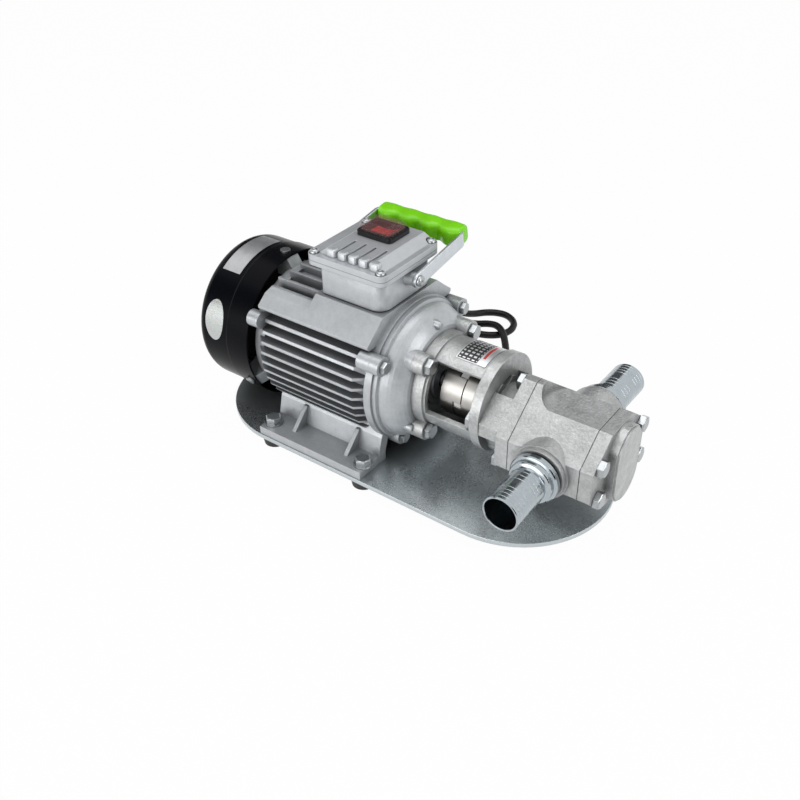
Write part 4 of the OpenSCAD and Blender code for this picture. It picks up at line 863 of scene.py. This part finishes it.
@dataclass
class MainsLead:
    """The free lead with its strain relief, coil and plug."""

    diameter: float = 7.5
    coil_centre: Pair = (-150.0, 140.0)
    inner_r: float = 38.2
    outer_r: float = 45.8
    low_z: float = 4.0
    high_z: float = 11.6
    to_coil: tuple[Point, ...] = (
        (-52, 56, 163), (-54, 68, 162), (-59, 80, 158), (-65, 91, 149), (-70, 100, 136), (-74, 107, 121),
        (-78, 113, 104), (-81, 119, 87), (-84, 127, 70), (-86, 137, 54), (-88, 150, 40), (-88.5, 164, 30),
        (-88, 178, 23), (-86.5, 191, 18), (-84, 202, 13), (-81, 212, 8), (-77.5, 221.5, 4.7), (-70.5, 230.5, 4),
        (-61, 236.5, 4), (-50, 238.5, 4), (-39.5, 234.5, 4), (-31.5, 226, 4), (-28.5, 214, 4), (-31.5, 202.5, 4),
        (-39.5, 194, 4), (-51, 188.5, 4), (-66, 185.5, 4), (-82, 184.5, 4), (-100, 184.8, 4), (-125, 185.7, 4),
    )
    to_plug: tuple[Point, ...] = (
        (-116.9, 106.2, 11.6), (-105.8, 113.2, 11.7), (-98.3, 122.6, 11.9), (-94.8, 134.5, 12.1), (-94, 147, 12.3),
        (-94, 160, 12.4), (-93.6, 172, 12.4), (-90.3, 182.5, 12.3), (-83.5, 190.3, 10.2), (-74, 196, 7.2),
        (-62.5, 200.3, 7.2), (-50.5, 203, 10), (-39, 201.5, 12.4), (-28, 195.5, 11.6), (-18, 185, 7.5),
        (-8, 171, 4), (0, 157, 4), (7, 144, 5), (14.5, 132, 7), (23.5, 122.5, 9), (33.5, 117.4, 10), (44, 115.6, 10),
    )
    turn_in: Pair = (365, 452)
    climb: Pair = (690, 790)
    turn_out: Pair = (1020, 1120)
    boot_ribs: int = 7
    boot_pitch: float = 3.0
    boot_r: float = 5.5
    boot_taper: float = 0.22
    boot_start: float = 1.5
    boot_foot: Pairs = ((3.7, 0.0), (5.6, 0.0))
    boot_rib: Pairs = ((0.0, 0.0), (0.0, 1.6), (0.7, 2.0), (0.7, 2.8))
    boot_end: Pairs = ((4.1, 23.5), (3.7, 23.5), (3.7, 0.0))
    plug_shape: tuple[Point, ...] = (
        (0, 4.4, 4.4), (4, 4.6, 4.6), (8, 4.7, 4.7), (14, 5.2, 5.2), (20, 6.2, 6.2), (25, 9, 8), (29, 13, 9.2),
        (34, 14.6, 9.4), (50, 14.8, 9.4), (56, 14.2, 9.2), (57.8, 13, 8.4), (58, 11, 7),
    )
    plug_steps: int = 40
    plug_square: float = 0.62
    round_below: float = 8.0
    pin: Pairs = ((0, 57), (2.4, 57), (2.4, 75), (1.6, 76.6), (0, 77))
    pin_y: float = 9.5

    def coil(self) -> list[Point]:
        """Winds the unseen length: out and in on the floor, then up, and out again on top.

        Returns:
            Points 10 degrees apart, in millimetres.
        """

        def step(angle: float, start: float, end: float) -> float:
            """Rises smoothly from 0 at start to 1 at end."""
            share = min(1.0, max(0.0, (angle - start) / (end - start)))
            return share * share * (3 - 2 * share)

        points = []
        for angle in range(90, 1381, 10):
            inward = step(angle, *self.turn_in) - step(angle, *self.turn_out)
            radius = self.outer_r + (self.inner_r - self.outer_r) * inward
            height = self.low_z + (self.high_z - self.low_z) * step(angle, *self.climb)
            a = math.radians(angle)
            x, y = self.coil_centre
            points.append((x + radius * math.cos(a), y + radius * math.sin(a), height))
        return points

    @staticmethod
    def smooth(points: Sequence[Point], steps: int = 5) -> list[Vector]:
        """Runs a smooth curve through the points.

        Args:
            points: The route, in millimetres.
            steps: Points added for each stretch.

        Returns:
            Closely spaced points, in metres.
        """
        route = [Vector(p) * MM for p in points]
        route = [route[0] * 2 - route[1], *route, route[-1] * 2 - route[-2]]
        fine = []
        for i in range(1, len(route) - 2):
            p0, p1, p2, p3 = route[i - 1 : i + 3]
            slope = p2 - p0
            bend = 2 * p0 - 5 * p1 + 4 * p2 - p3
            twist = 3 * p1 - 3 * p2 + p3 - p0
            for t in (k / steps for k in range(steps)):
                fine.append(0.5 * (2 * p1 + slope * t + bend * t * t + twist * t * t * t))
        fine.append(route[-2])
        return fine

    def build(self) -> None:
        line = self.smooth([*self.to_coil, *self.coil(), *self.to_plug])
        length = sum((b - a).length for a, b in zip(line, line[1:]))
        curve = bpy.data.curves.new("power_cord", "CURVE")
        curve.dimensions = "3D"
        spline = curve.splines.new("POLY")
        spline.points.add(len(line) - 1)
        for point, place in zip(spline.points, line):
            point.co = (*place, 1.0)
        curve.bevel_depth = self.diameter / 2 * MM
        curve.bevel_resolution = 4
        curve.use_fill_caps = True
        curve.materials.append(CORD_SHEATH.material())
        cord = added("mains_cord", curve)
        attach(cord, Body.SET.value)
        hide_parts("power_cord", "cord_coil")
        relief = self.relief(facing(line[0], line[5] - line[0]))
        plug = self.plug(facing(line[-1], line[-1] - line[-2]))
        LOG.info("mains cord: %.3f m", length)

    def relief(self, place: Matrix) -> bpy.types.Object:
        """Makes the ribbed boot where the lead leaves the gland.

        Args:
            place: Where the lead starts, with Z along it.

        Returns:
            The piece.
        """
        profile = list(self.boot_foot)
        for i in range(self.boot_ribs):
            height, radius = self.boot_start + i * self.boot_pitch, self.boot_r - i * self.boot_taper
            profile += [(radius - cut, height + at) for cut, at in self.boot_rib]
        profile += self.boot_end
        return Workshop.piece("lead_boot", Workshop.turned("lead_boot", profile, place, 40), GLAND)

    def plug(self, place: Matrix) -> bpy.types.Object:
        """Makes the moulded plug with its plain neck and two pins.

        Args:
            place: Where the lead ends, with Z along it.

        Returns:
            The plug's body.
        """
        up = place.to_3x3().inverted() @ Vector((0, 0, 1))
        place = place @ Matrix.Rotation(math.atan2(up.y, up.x), 4, "Z")
        sections = []
        for height, wide, thick in self.plug_shape:
            power = self.plug_square if wide > self.round_below else 1.0
            ring = []
            for i in range(self.plug_steps):
                across, side = squared(2 * math.pi * i / self.plug_steps, power)
                ring.append(place @ (Vector((thick * across, wide * side, height)) * MM))
            sections.append(ring)
        body = Workshop.loft("mains_plug", sections)
        made = Workshop.piece("mains_plug", body, CORD_SHEATH, ["cord_plug"])
        for side in (-1, 1):
            name = f"plug_pin_{side + 1}"
            spot = place @ Matrix.Translation((0, side * self.pin_y * MM, 0))
            Workshop.piece(name, Workshop.turned(name, self.pin, spot, 24), ZINC)
        return made


@dataclass
class HexFasteners:
    """A set of like hex bolts: one head and shank, set on points by Geometry Nodes."""

    name: str
    places: Sequence[Point]
    turn: Point
    stands_for: tuple[str, ...] = ()
    across: float = 13.0
    head: float = 5.3
    shank: float = 4.0
    grip: float = 20.0
    washer: float = 0.0
    washer_t: float = 1.6
    flange_t: float = 0.3
    straight: float = 0.84
    chamfer: float = 0.12
    top: float = 0.87
    face: float = 0.5

    def sizes(self) -> dict[str, Any]:
        """Gives what the node tree's named inputs are set to.

        Returns:
            Their values in metres and radians, by name.
        """
        return {
            "Across Corners": self.across / math.sqrt(3) * MM,
            "Chamfer Radius": self.across * 0.44 * MM,
            "Head Height": self.head * MM,
            "Shank Radius": self.shank * MM,
            "Grip": self.grip * MM,
            "Washer Radius": max(self.washer, self.across * 0.47) * MM,
            "Washer Thickness": (self.washer_t if self.washer else self.flange_t) * MM,
            "Turn": self.turn,
        }

    def tree(self) -> bpy.types.NodeTree:
        """Builds the node tree, with one named input for each size.

        Returns:
            The tree.
        """
        tree = bpy.data.node_groups.new(self.name, "GeometryNodeTree")
        kinds = {"Geometry": "NodeSocketGeometry", "Turn": "NodeSocketVector"}
        for label in ("Geometry", *self.sizes()):
            tree.interface.new_socket(label, in_out="INPUT", socket_type=kinds.get(label, "NodeSocketFloat"))
        tree.interface.new_socket("Geometry", in_out="OUTPUT", socket_type=kinds["Geometry"])
        g = Graph(tree, "NodeGroupOutput")
        given = g.node("NodeGroupInput", {}, {}).socket.node.outputs
        size = {socket.name: Link(g, socket) for socket in given}
        corners, height, seat, grip = (
            size[label] for label in ("Across Corners", "Head Height", "Washer Thickness", "Grip")
        )

        def lifted(mesh: Link, up: Link) -> Link:
            """Moves a mesh up."""
            move = g.node("ShaderNodeCombineXYZ", {}, {"Z": up})
            return g.node("GeometryNodeTransform", {}, {"Geometry": mesh, "Translation": move})

        def cylinder(sides: int, radius: Link, depth: Link, up: Link) -> Link:
            """Makes a cylinder or a prism with its middle at a height."""
            inputs = {"Vertices": sides, "Radius": radius, "Depth": depth}
            return lifted(g.node("GeometryNodeMeshCylinder", {}, inputs, "Mesh"), up)

        taper = {"Radius Top": corners * self.top, "Radius Bottom": corners, "Depth": height * self.chamfer}
        cone = g.node("GeometryNodeMeshCone", {}, {"Vertices": 6, **taper}, "Mesh")
        parts = [
            cylinder(6, corners, height * self.straight, seat + height * (self.straight / 2)),
            lifted(cone, seat + height * self.straight),
            cylinder(48, size["Chamfer Radius"], height * self.face, seat + height * (1 - self.face / 2)),
            cylinder(48, size["Washer Radius"], seat, seat * 0.5),
            cylinder(24, size["Shank Radius"], grip, grip * -0.5 + seat),
        ]
        bolt = g.node("GeometryNodeJoinGeometry", {}, {0: parts})
        turn = g.node("FunctionNodeEulerToRotation", {}, {0: size["Turn"]})
        spread = {"Points": size["Geometry"], "Instance": bolt, "Rotation": turn}
        real = g.node("GeometryNodeRealizeInstances", {}, {0: g.node("GeometryNodeInstanceOnPoints", {}, spread)})
        g.end(g.node("GeometryNodeSetMaterial", {}, {"Geometry": real, "Material": ZINC.material()}))
        return tree

    def build(self) -> None:
        """Sets the fasteners in place as one plain mesh."""
        base = bpy.data.meshes.new(f"{self.name}_points")
        base.from_pydata([tuple(c * MM for c in place) for place in self.places], [], [])
        holder = added(f"{self.name}_points", base)
        modifier = holder.modifiers.new("fasteners", "NODES")
        modifier.node_group = self.tree()
        sizes = self.sizes()
        for item in modifier.node_group.interface.items_tree:
            if item.in_out == "INPUT" and item.name in sizes:
                modifier[item.identifier] = sizes[item.name]
        bpy.context.view_layer.update()
        seen = holder.evaluated_get(bpy.context.evaluated_depsgraph_get())
        mesh = bpy.data.meshes.new_from_object(seen)
        mesh.name = self.name
        bpy.data.objects.remove(holder)
        bpy.data.meshes.remove(base)
        Workshop.piece(self.name, mesh, ZINC, self.stands_for, 28.0)


@dataclass
class Fasteners:
    """All the hex bolts of the machine."""

    foot_x: Pair = (-5.5, -109.5)
    foot_y: float = 72.0
    foot_top: float = 21.0
    bracket_x: float = 35.5
    bracket_half: float = 32.5
    lug_x: float = 9.0
    lugs: Pairs = ((-58, 35), (58, 35), (-33, -51), (33, -51))
    front_x: float = 194.0
    cover_y: float = 34.5
    cover_low: float = -28.7
    cover_high: float = 2.3
    neck: Point = (82.1, 34.0, -2.0)
    rear_x: float = 108.5
    rear_high: float = 26.3
    rear_low: float = -52.7

    def build(self) -> None:
        """Sets each group of bolts on its seat."""
        up = (0.0, 0.0, 0.3)
        to_x = (0.0, math.pi / 2, 0.0)
        to_minus_x = (0.0, -math.pi / 2, 0.0)
        sides = (-self.bracket_half, self.bracket_half)
        covers = (-self.cover_y, self.cover_y)
        feet = [(x, y, self.foot_top) for x in self.foot_x for y in (-self.foot_y, self.foot_y)]
        square = [(self.bracket_x, y, AXIS_Z + z) for y in sides for z in sides]
        lugs = [(self.lug_x, y, AXIS_Z + z) for y, z in self.lugs]
        front = [(self.front_x, y, AXIS_Z + z) for y in covers for z in (self.cover_low, self.cover_high)]
        neck = [(self.neck[0], y, AXIS_Z + self.neck[2]) for y in (-self.neck[1], self.neck[1])]
        rear = [(self.rear_x, 0.0, AXIS_Z + z) for z in (self.rear_high, self.rear_low)]
        low = [(self.rear_x, y, AXIS_Z + self.cover_low) for y in covers]
        small = {"across": 10.0, "head": 4.0, "shank": 3.0, "grip": 19.0}
        HexFasteners("foot_bolt_set", feet, up, ("foot_bolts",), washer=8.5, grip=20.0).build()
        HexFasteners("bracket_bolt_set", square, to_x, ("bracket_bolts",), grip=24.0).build()
        HexFasteners("shield_bolt_set", lugs, to_x, ("shield_bolts",), **small).build()
        HexFasteners("front_cover_bolt_set", front, to_x, ("front_cover_bolts",), grip=23.0).build()
        HexFasteners("neck_bolt_set", neck, to_minus_x, ("neck_bolts",), grip=23.0).build()
        HexFasteners("rear_cover_bolt_set", rear, to_minus_x, (), grip=15.0).build()
        HexFasteners("rear_cover_low_bolts", low, to_minus_x, ("rear_cover_bolts",), grip=22.0).build()


@dataclass
class TerminalBox:
    """The cast switch box under its lid, with its pivot bosses, and the lid's screws and ribs."""

    centre_x: float = -39.5
    length: float = 65.0
    width: float = 71.4
    front_r: float = 12.0
    rear_r: float = 3.0
    low: float = 151.6
    high: float = 178.0
    pivot: Point = (-43.0, 0.0, 170.5)
    boss_reach: float = 43.9
    screw_at: float = 47.4
    screw_r: float = 2.4
    screw_head: Pairs = (
        (4.7, 0.0), (4.8, 0.9), (4.3, 2.0), (3.2, 2.7), (1.5, 3.0), (1.1, 2.9), (0.7, 2.0), (0.0, 1.9),
    )
    lid_screws: tuple[float, float, float] = (-77.3, -8.7, 35.0)
    lid_head: Pairs = (
        (0, 186.6), (3.9, 186.6), (4.0, 188.9), (3.5, 190.0), (2.4, 190.7), (1.4, 190.9), (1.0, 190.5), (0.8, 189.4),
        (0, 189.3),
    )
    rib_y: float = -31.5
    rib_half: float = 3.6
    rib_square: float = 0.5
    rib_levels: Pairs = ((0.0, 187.9), (0.0, 194.2), (0.5, 194.7), (1.3, 194.9))
    ribs: Pairs = (
        (-65.2, -56.0), (-53.0, -45.0), (-42.0, -34.5), (-31.5, -23.5), (-20.5, -11.6),
    )

    def outline(self, inset: float, height: float) -> list[Vector]:
        """Gives one ring of the box, inset from its widest.

        Args:
            inset: How far inside the wall's face it lies, in millimetres.
            height: Its height.

        Returns:
            The ring's points, in metres.
        """
        corners = ((1, 1, self.front_r), (-1, 1, self.rear_r), (-1, -1, self.rear_r), (1, -1, self.front_r))
        ring = []
        for corner, (along, across, radius) in enumerate(corners):
            for step in range(9):
                a = math.radians(90 * corner + 90 * step / 8)
                x = along * (self.length / 2 - radius) + (radius - inset) * math.cos(a)
                y = across * (self.width / 2 - radius) + (radius - inset) * math.sin(a)
                ring.append(Vector((self.centre_x + x, y, height)) * MM)
        return ring

    def build(self) -> None:
        """Makes the shell, the bosses and pivot screws, and dresses the lid."""
        low, high = self.low, self.high
        levels = ((0.7, low), (0.1, low + 0.5), (0.0, low + 1.2), (0.0, high - 0.8), (0.5, high))
        shell = Workshop.loft("box_shell", [self.outline(*level) for level in levels])
        Workshop.piece("box_shell", shell, MOTOR_ENAMEL, ["terminal_box"], 50.0)
        for side, end in ((1, "front"), (-1, "rear")):
            self.pivot_end(side, end)
        self.lid_heads()
        for index, (start, stop) in enumerate(self.ribs):
            self.lid_rib(index, start, stop)

    def pivot_end(self, side: int, end: str) -> None:
        """Makes one boss and its screw.

        Args:
            side: 1 at the pump's side of the box, -1 at the fan's.
            end: The word for that side in the pieces' names.
        """
        place = placed(self.pivot, side)
        wall = side * (self.centre_x - self.pivot[0]) + self.length / 2 - 1.0
        reach, shank = self.boss_reach, self.screw_r
        boss = [(0, wall), (7.4, wall), (6.6, wall + 2.0), (5.9, wall + 4.5)]
        boss += [(5.7, reach - 0.6), (5.2, reach), (0, reach)]
        Workshop.piece(f"pivot_boss_{end}", Workshop.turned("boss", boss, place, 48), MOTOR_ENAMEL)
        head = [(0, reach - 4), (shank, reach - 4), (shank, self.screw_at)]
        head += [(radius, self.screw_at + rise) for radius, rise in self.screw_head]
        stands_for = ["handle_pivots"] if side > 0 else []
        Workshop.piece(f"pivot_screw_{end}", Workshop.turned("screw", head, place, 40), ZINC, stands_for)

    def lid_heads(self) -> None:
        """Sets the lid's four pan heads."""
        rear, front, side = self.lid_screws
        for index, (x, y) in enumerate(((rear, -side), (rear, side), (front, -side), (front, side))):
            place = placed((x, y, 0.0))
            stands_for = ["lid_screws"] if index == 0 else []
            mesh = Workshop.turned("head", self.lid_head, place, 32)
            Workshop.piece(f"lid_head_{index}", mesh, ZINC, stands_for)

    def lid_rib(self, index: int, start: float, stop: float) -> None:
        """Raises one rounded rib at the lid's near edge.

        Args:
            index: Its number.
            start: Its rear end, in millimetres.
            stop: Its front end.
        """
        rings = []
        for inset, height in self.rib_levels:
            ring = []
            for k in range(36):
                along, across = squared(math.radians(10 * k), self.rib_square)
                x = (start + stop) / 2 + ((stop - start) / 2 - inset) * along
                ring.append(Vector((x, self.rib_y + (self.rib_half - inset) * across, height)) * MM)
            rings.append(ring)
        Workshop.piece(f"lid_rib_{index}", Workshop.loft("lid_rib", rings), LID_ENAMEL, angle=50.0)


@dataclass
class CarryHandle:
    """The zinc strap and the moulded grip on it."""

    pivot: Point = (-43.0, 0.0, 170.5)
    reach: float = 70.0
    rest: float = 9.0
    length: float = 88.0
    width: float = 19.0
    depth: float = 20.0
    waves: int = 4
    hollow: float = 3.6
    hollow_power: float = 1.4
    outer_cut: float = 1.0
    end_r: float = 2.5
    end_share: float = 0.82
    swell: float = 0.08
    square: float = 0.55
    steps: int = 96
    ring_steps: int = 48
    strap_half: float = 45.7
    strap_w: float = 12.6
    strap_t: float = 3.0
    bend_r: float = 6.5

    def axes(self) -> tuple[Vector, Vector]:
        """Gives the direction from the pivot to the grip, and the one across the strap."""
        lift = math.radians(self.rest)
        return Vector((0, math.cos(lift), math.sin(lift))), Vector((0, -math.sin(lift), math.cos(lift)))

    def strap_line(self) -> list[tuple[float, float, float, float]]:
        """Walks the strap from one eye to the other.

        Returns:
            Along X, along the reach, the way that the outside faces in degrees, and the width, in millimetres.
        """
        eye = self.strap_w / 2
        bend = self.reach - self.bend_r
        leg = []
        for t in (math.radians(a) for a in range(0, 91, 10)):
            leg.append((self.strap_half, -eye * math.cos(t), 0.0, max(0.6, 2 * eye * math.sin(t))))
        leg += [(self.strap_half, bend * i / 8, 0.0, self.strap_w) for i in range(1, 9)]
        for a in range(10, 91, 10):
            t = math.radians(a)
            x = self.strap_half - self.bend_r + self.bend_r * math.cos(t)
            leg.append((x, bend + self.bend_r * math.sin(t), float(a), self.strap_w))
        return leg + [(-x, u, 180.0 - a, w) for x, u, a, w in reversed(leg)]

    def strap(self) -> None:
        """Bends the strap out of flat stock with rounded edges."""
        out, across = self.axes()
        half = self.strap_t / 2
        edge = [(half, -0.5), (half - 0.15, -0.12), (half - 0.5, 0.0)]
        edge += [(-d, lip) for d, lip in reversed(edge)]
        corners = [(d, 1, lip) for d, lip in edge] + [(d, -1, lip) for d, lip in reversed(edge)]
        sections = []
        for x, u, angle, width in self.strap_line():
            t = math.radians(angle)
            side = Vector((math.cos(t), 0, 0)) + out * math.sin(t)
            middle = Vector(self.pivot) + Vector((x, 0, 0)) + out * u
            ring = [middle + side * d + across * sign * max(0.05, width / 2 + lip) for d, sign, lip in corners]
            sections.append([point * MM for point in ring])
        bar = Workshop.loft("strap_bar", sections)
        Workshop.piece("strap_bar", bar, STRAP_ZINC, ["handle_bail"], 40.0, Body.HANDLE)

    def grip(self) -> None:
        """Lofts the grip along the bar, with a hollow for each finger."""
        out, across = self.axes()
        centre = Vector(self.pivot) + out * self.reach
        half = self.length / 2
        outer = self.depth / 2 - self.outer_cut
        sections = []
        for i in range(self.steps + 1):
            s = -half + self.length * i / self.steps
            share = max(0.0, (abs(s) - (half - self.end_r)) / self.end_r)
            end = self.end_share + (1 - self.end_share) * math.sqrt(max(0.0, 1 - share**2))
            wave = 0.5 - 0.5 * math.cos(2 * math.pi * self.waves * (s + half) / self.length)
            inner = self.depth / 2 - self.hollow * (1 - wave) ** self.hollow_power
            side = self.width / 2 * end * (1 - self.swell * (1 - wave))
            ring = []
            for k in range(self.ring_steps):
                c, d = squared(2 * math.pi * k / self.ring_steps, self.square)
                u = (outer if c > 0 else inner) * end * c
                ring.append((centre + Vector((s, 0, 0)) + out * u + across * side * d) * MM)
            sections.append(ring)
        shell = Workshop.loft("grip_shell", sections)
        Workshop.piece("grip_shell", shell, GRIP_GREEN, ["handle_grip"], 60.0, Body.HANDLE)

    def build(self) -> None:
        """Makes the strap and the grip."""
        self.strap()
        self.grip()


@dataclass
class ShieldBosses:
    """The three small cast bosses on the front shield's rounded face."""

    circle: float = 51.0
    angles: tuple[float, ...] = (90.0, 324.0, 216.0)
    radius: float = 3.3
    low: float = 17.0
    high: float = 26.2

    def build(self) -> None:
        """Turns each boss on its spot."""
        r, low, high = self.radius, self.low, self.high
        profile = [(0, low), (r + 0.8, low), (r + 0.3, high - 3.0), (r, high - 0.8), (r - 0.7, high), (0, high)]
        for index, a in enumerate(math.radians(angle) for angle in self.angles):
            place = placed((0, self.circle * math.cos(a), AXIS_Z + self.circle * math.sin(a)), 1)
            Workshop.piece(f"shield_boss_{index}", Workshop.turned("boss", profile, place, 32), MOTOR_ENAMEL)


@dataclass
class HoseTails:
    """The two plated hose tails: a plain root, a stepped collar and a grooved sleeve."""

    centre: Point = (151.5, 0.0, 70.8)
    sleeve_r: float = 15.4
    bore_r: float = 13.6
    root_y: float = 52.0
    root_from: float = 40.2
    root_r: float = 15.9
    root_bore: float = 12.5
    step_y: float = 44.0
    reach: float = 107.0
    groove: float = 0.14
    grooves: tuple[float, ...] = (18.0, 22.5, 27.0, 38.0, 42.0, 46.0, 50.0)
    collar: Pairs = (
        (15.9, 2.0), (20.4, 2.0), (21.0, 2.6), (21.0, 6.0), (20.2, 7.0), (18.6, 7.6), (18.6, 11.6), (18.0, 12.4),
        (16.2, 13.0), (15.1, 14.2),
    )

    def profile(self) -> list[Pair]:
        """Walks the section from the root's bore round to it again.

        Returns:
            Radius and distance from the pump's middle, in millimetres.
        """
        full, cut = self.sleeve_r, self.sleeve_r - self.groove
        start, bore = (self.root_bore, self.root_from), self.bore_r
        points = [start, (self.root_r, self.root_from)] + [(r, self.root_y + at) for r, at in self.collar]
        groove = ((full, 0.0), (full, 0.9), (cut, 1.1), (cut, 1.5), (full, 1.7))
        for mark in self.grooves:
            points += [(r, self.root_y + mark + at) for r, at in groove]
        points += [(full, self.reach - 0.7), (full - 0.5, self.reach), (bore + 0.3, self.reach)]
        points += [(bore, self.reach - 0.5), (bore, self.step_y + 2.0), (self.root_bore, self.step_y)]
        return points + [start]

    def build(self) -> None:
        """Turns both tails."""
        for side, name in ((-1, "near"), (1, "far")):
            mesh = Workshop.turned(f"{name}_tail", self.profile(), placed(self.centre, -side, "X"), 96)
            Workshop.piece(f"{name}_tail", mesh, TAIL_ZINC, [f"{name}_hose_tail"], 30.0)


@dataclass
class BareLabels:
    """Two bare stickers on the fan cover."""

    radius: float = 69.6
    faces: int = 24
    under: float = 0.03
    top: float = 0.25

    def patch(
        self, name: str, x: Pair, angle: Pair, finish: Finish, oval: bool = False
    ) -> None:
        """Makes one thin sticker that follows the cover.

        Args:
            name: The piece's name.
            x: Its ends along the shaft, in millimetres.
            angle: Its edges, in degrees from +Y towards +Z.
            finish: What it is made of.
            oval: Whether it is an oval.
        """
        count = self.faces
        bm = bmesh.new()
        grids = []
        for r in (self.radius + self.under, self.radius + self.top):
            grid = {}
            for i in range(count + 1):
                for j in range(count + 1):
                    u, v = 2 * i / count - 1, 2 * j / count - 1
                    if oval:
                        u, v = u * math.sqrt(1 - v * v / 2), v * math.sqrt(1 - u * u / 2)
                    a = math.radians((angle[0] + angle[1]) / 2 + v * (angle[1] - angle[0]) / 2)
                    along = (x[0] + x[1]) / 2 + u * (x[1] - x[0]) / 2
                    grid[i, j] = bm.verts.new(Vector((along, r * math.cos(a), AXIS_Z + r * math.sin(a))) * MM)
            grids.append(grid)
            for i in range(count):
                for j in range(count):
                    bm.faces.new([grid[at] for at in ((i, j), (i + 1, j), (i + 1, j + 1), (i, j + 1))])
        edge = [(i, 0) for i in range(count)] + [(count, j) for j in range(count)]
        edge += [(count - i, count - j) for i, j in edge]
        low, high = grids
        for a, b in zip(edge, edge[1:] + edge[:1]):
            bm.faces.new((low[a], low[b], high[b], high[a]))
        Workshop.piece(name, Workshop.from_bmesh(name, bm), finish)

    def build(self) -> None:
        """Makes both stickers."""
        self.patch("cover_label", (-187.0, -166.0), (76.0, 124.0), LABEL_SILVER)
        self.patch("cover_badge", (-188.0, -166.0), (147.0, 179.0), BADGE_FOIL, True)


def dress_frame() -> None:
    """Gives every CAD node that stays its finish."""
    for finish, nodes in CAD_FINISHES.items():
        for name in nodes:
            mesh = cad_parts[name].data
            mesh.materials.clear()
            mesh.materials.append(finish.material())
        LOG.info("finish %s: %d nodes", finish.name, len(nodes))


def main() -> None:
    """Builds the studio, the lead and every dressed piece in order."""
    logging.basicConfig(level=logging.INFO, format="%(message)s")
    bpy.context.scene.view_settings.view_transform = "Standard"
    studio = Studio()
    studio.camera()
    MainsLead().build()
    studio.build()
    dress_frame()
    for part in (Fasteners(), TerminalBox(), ShieldBosses(), CarryHandle(), HoseTails(), BareLabels()):
        part.build()


if __name__ == "__main__":
    main()
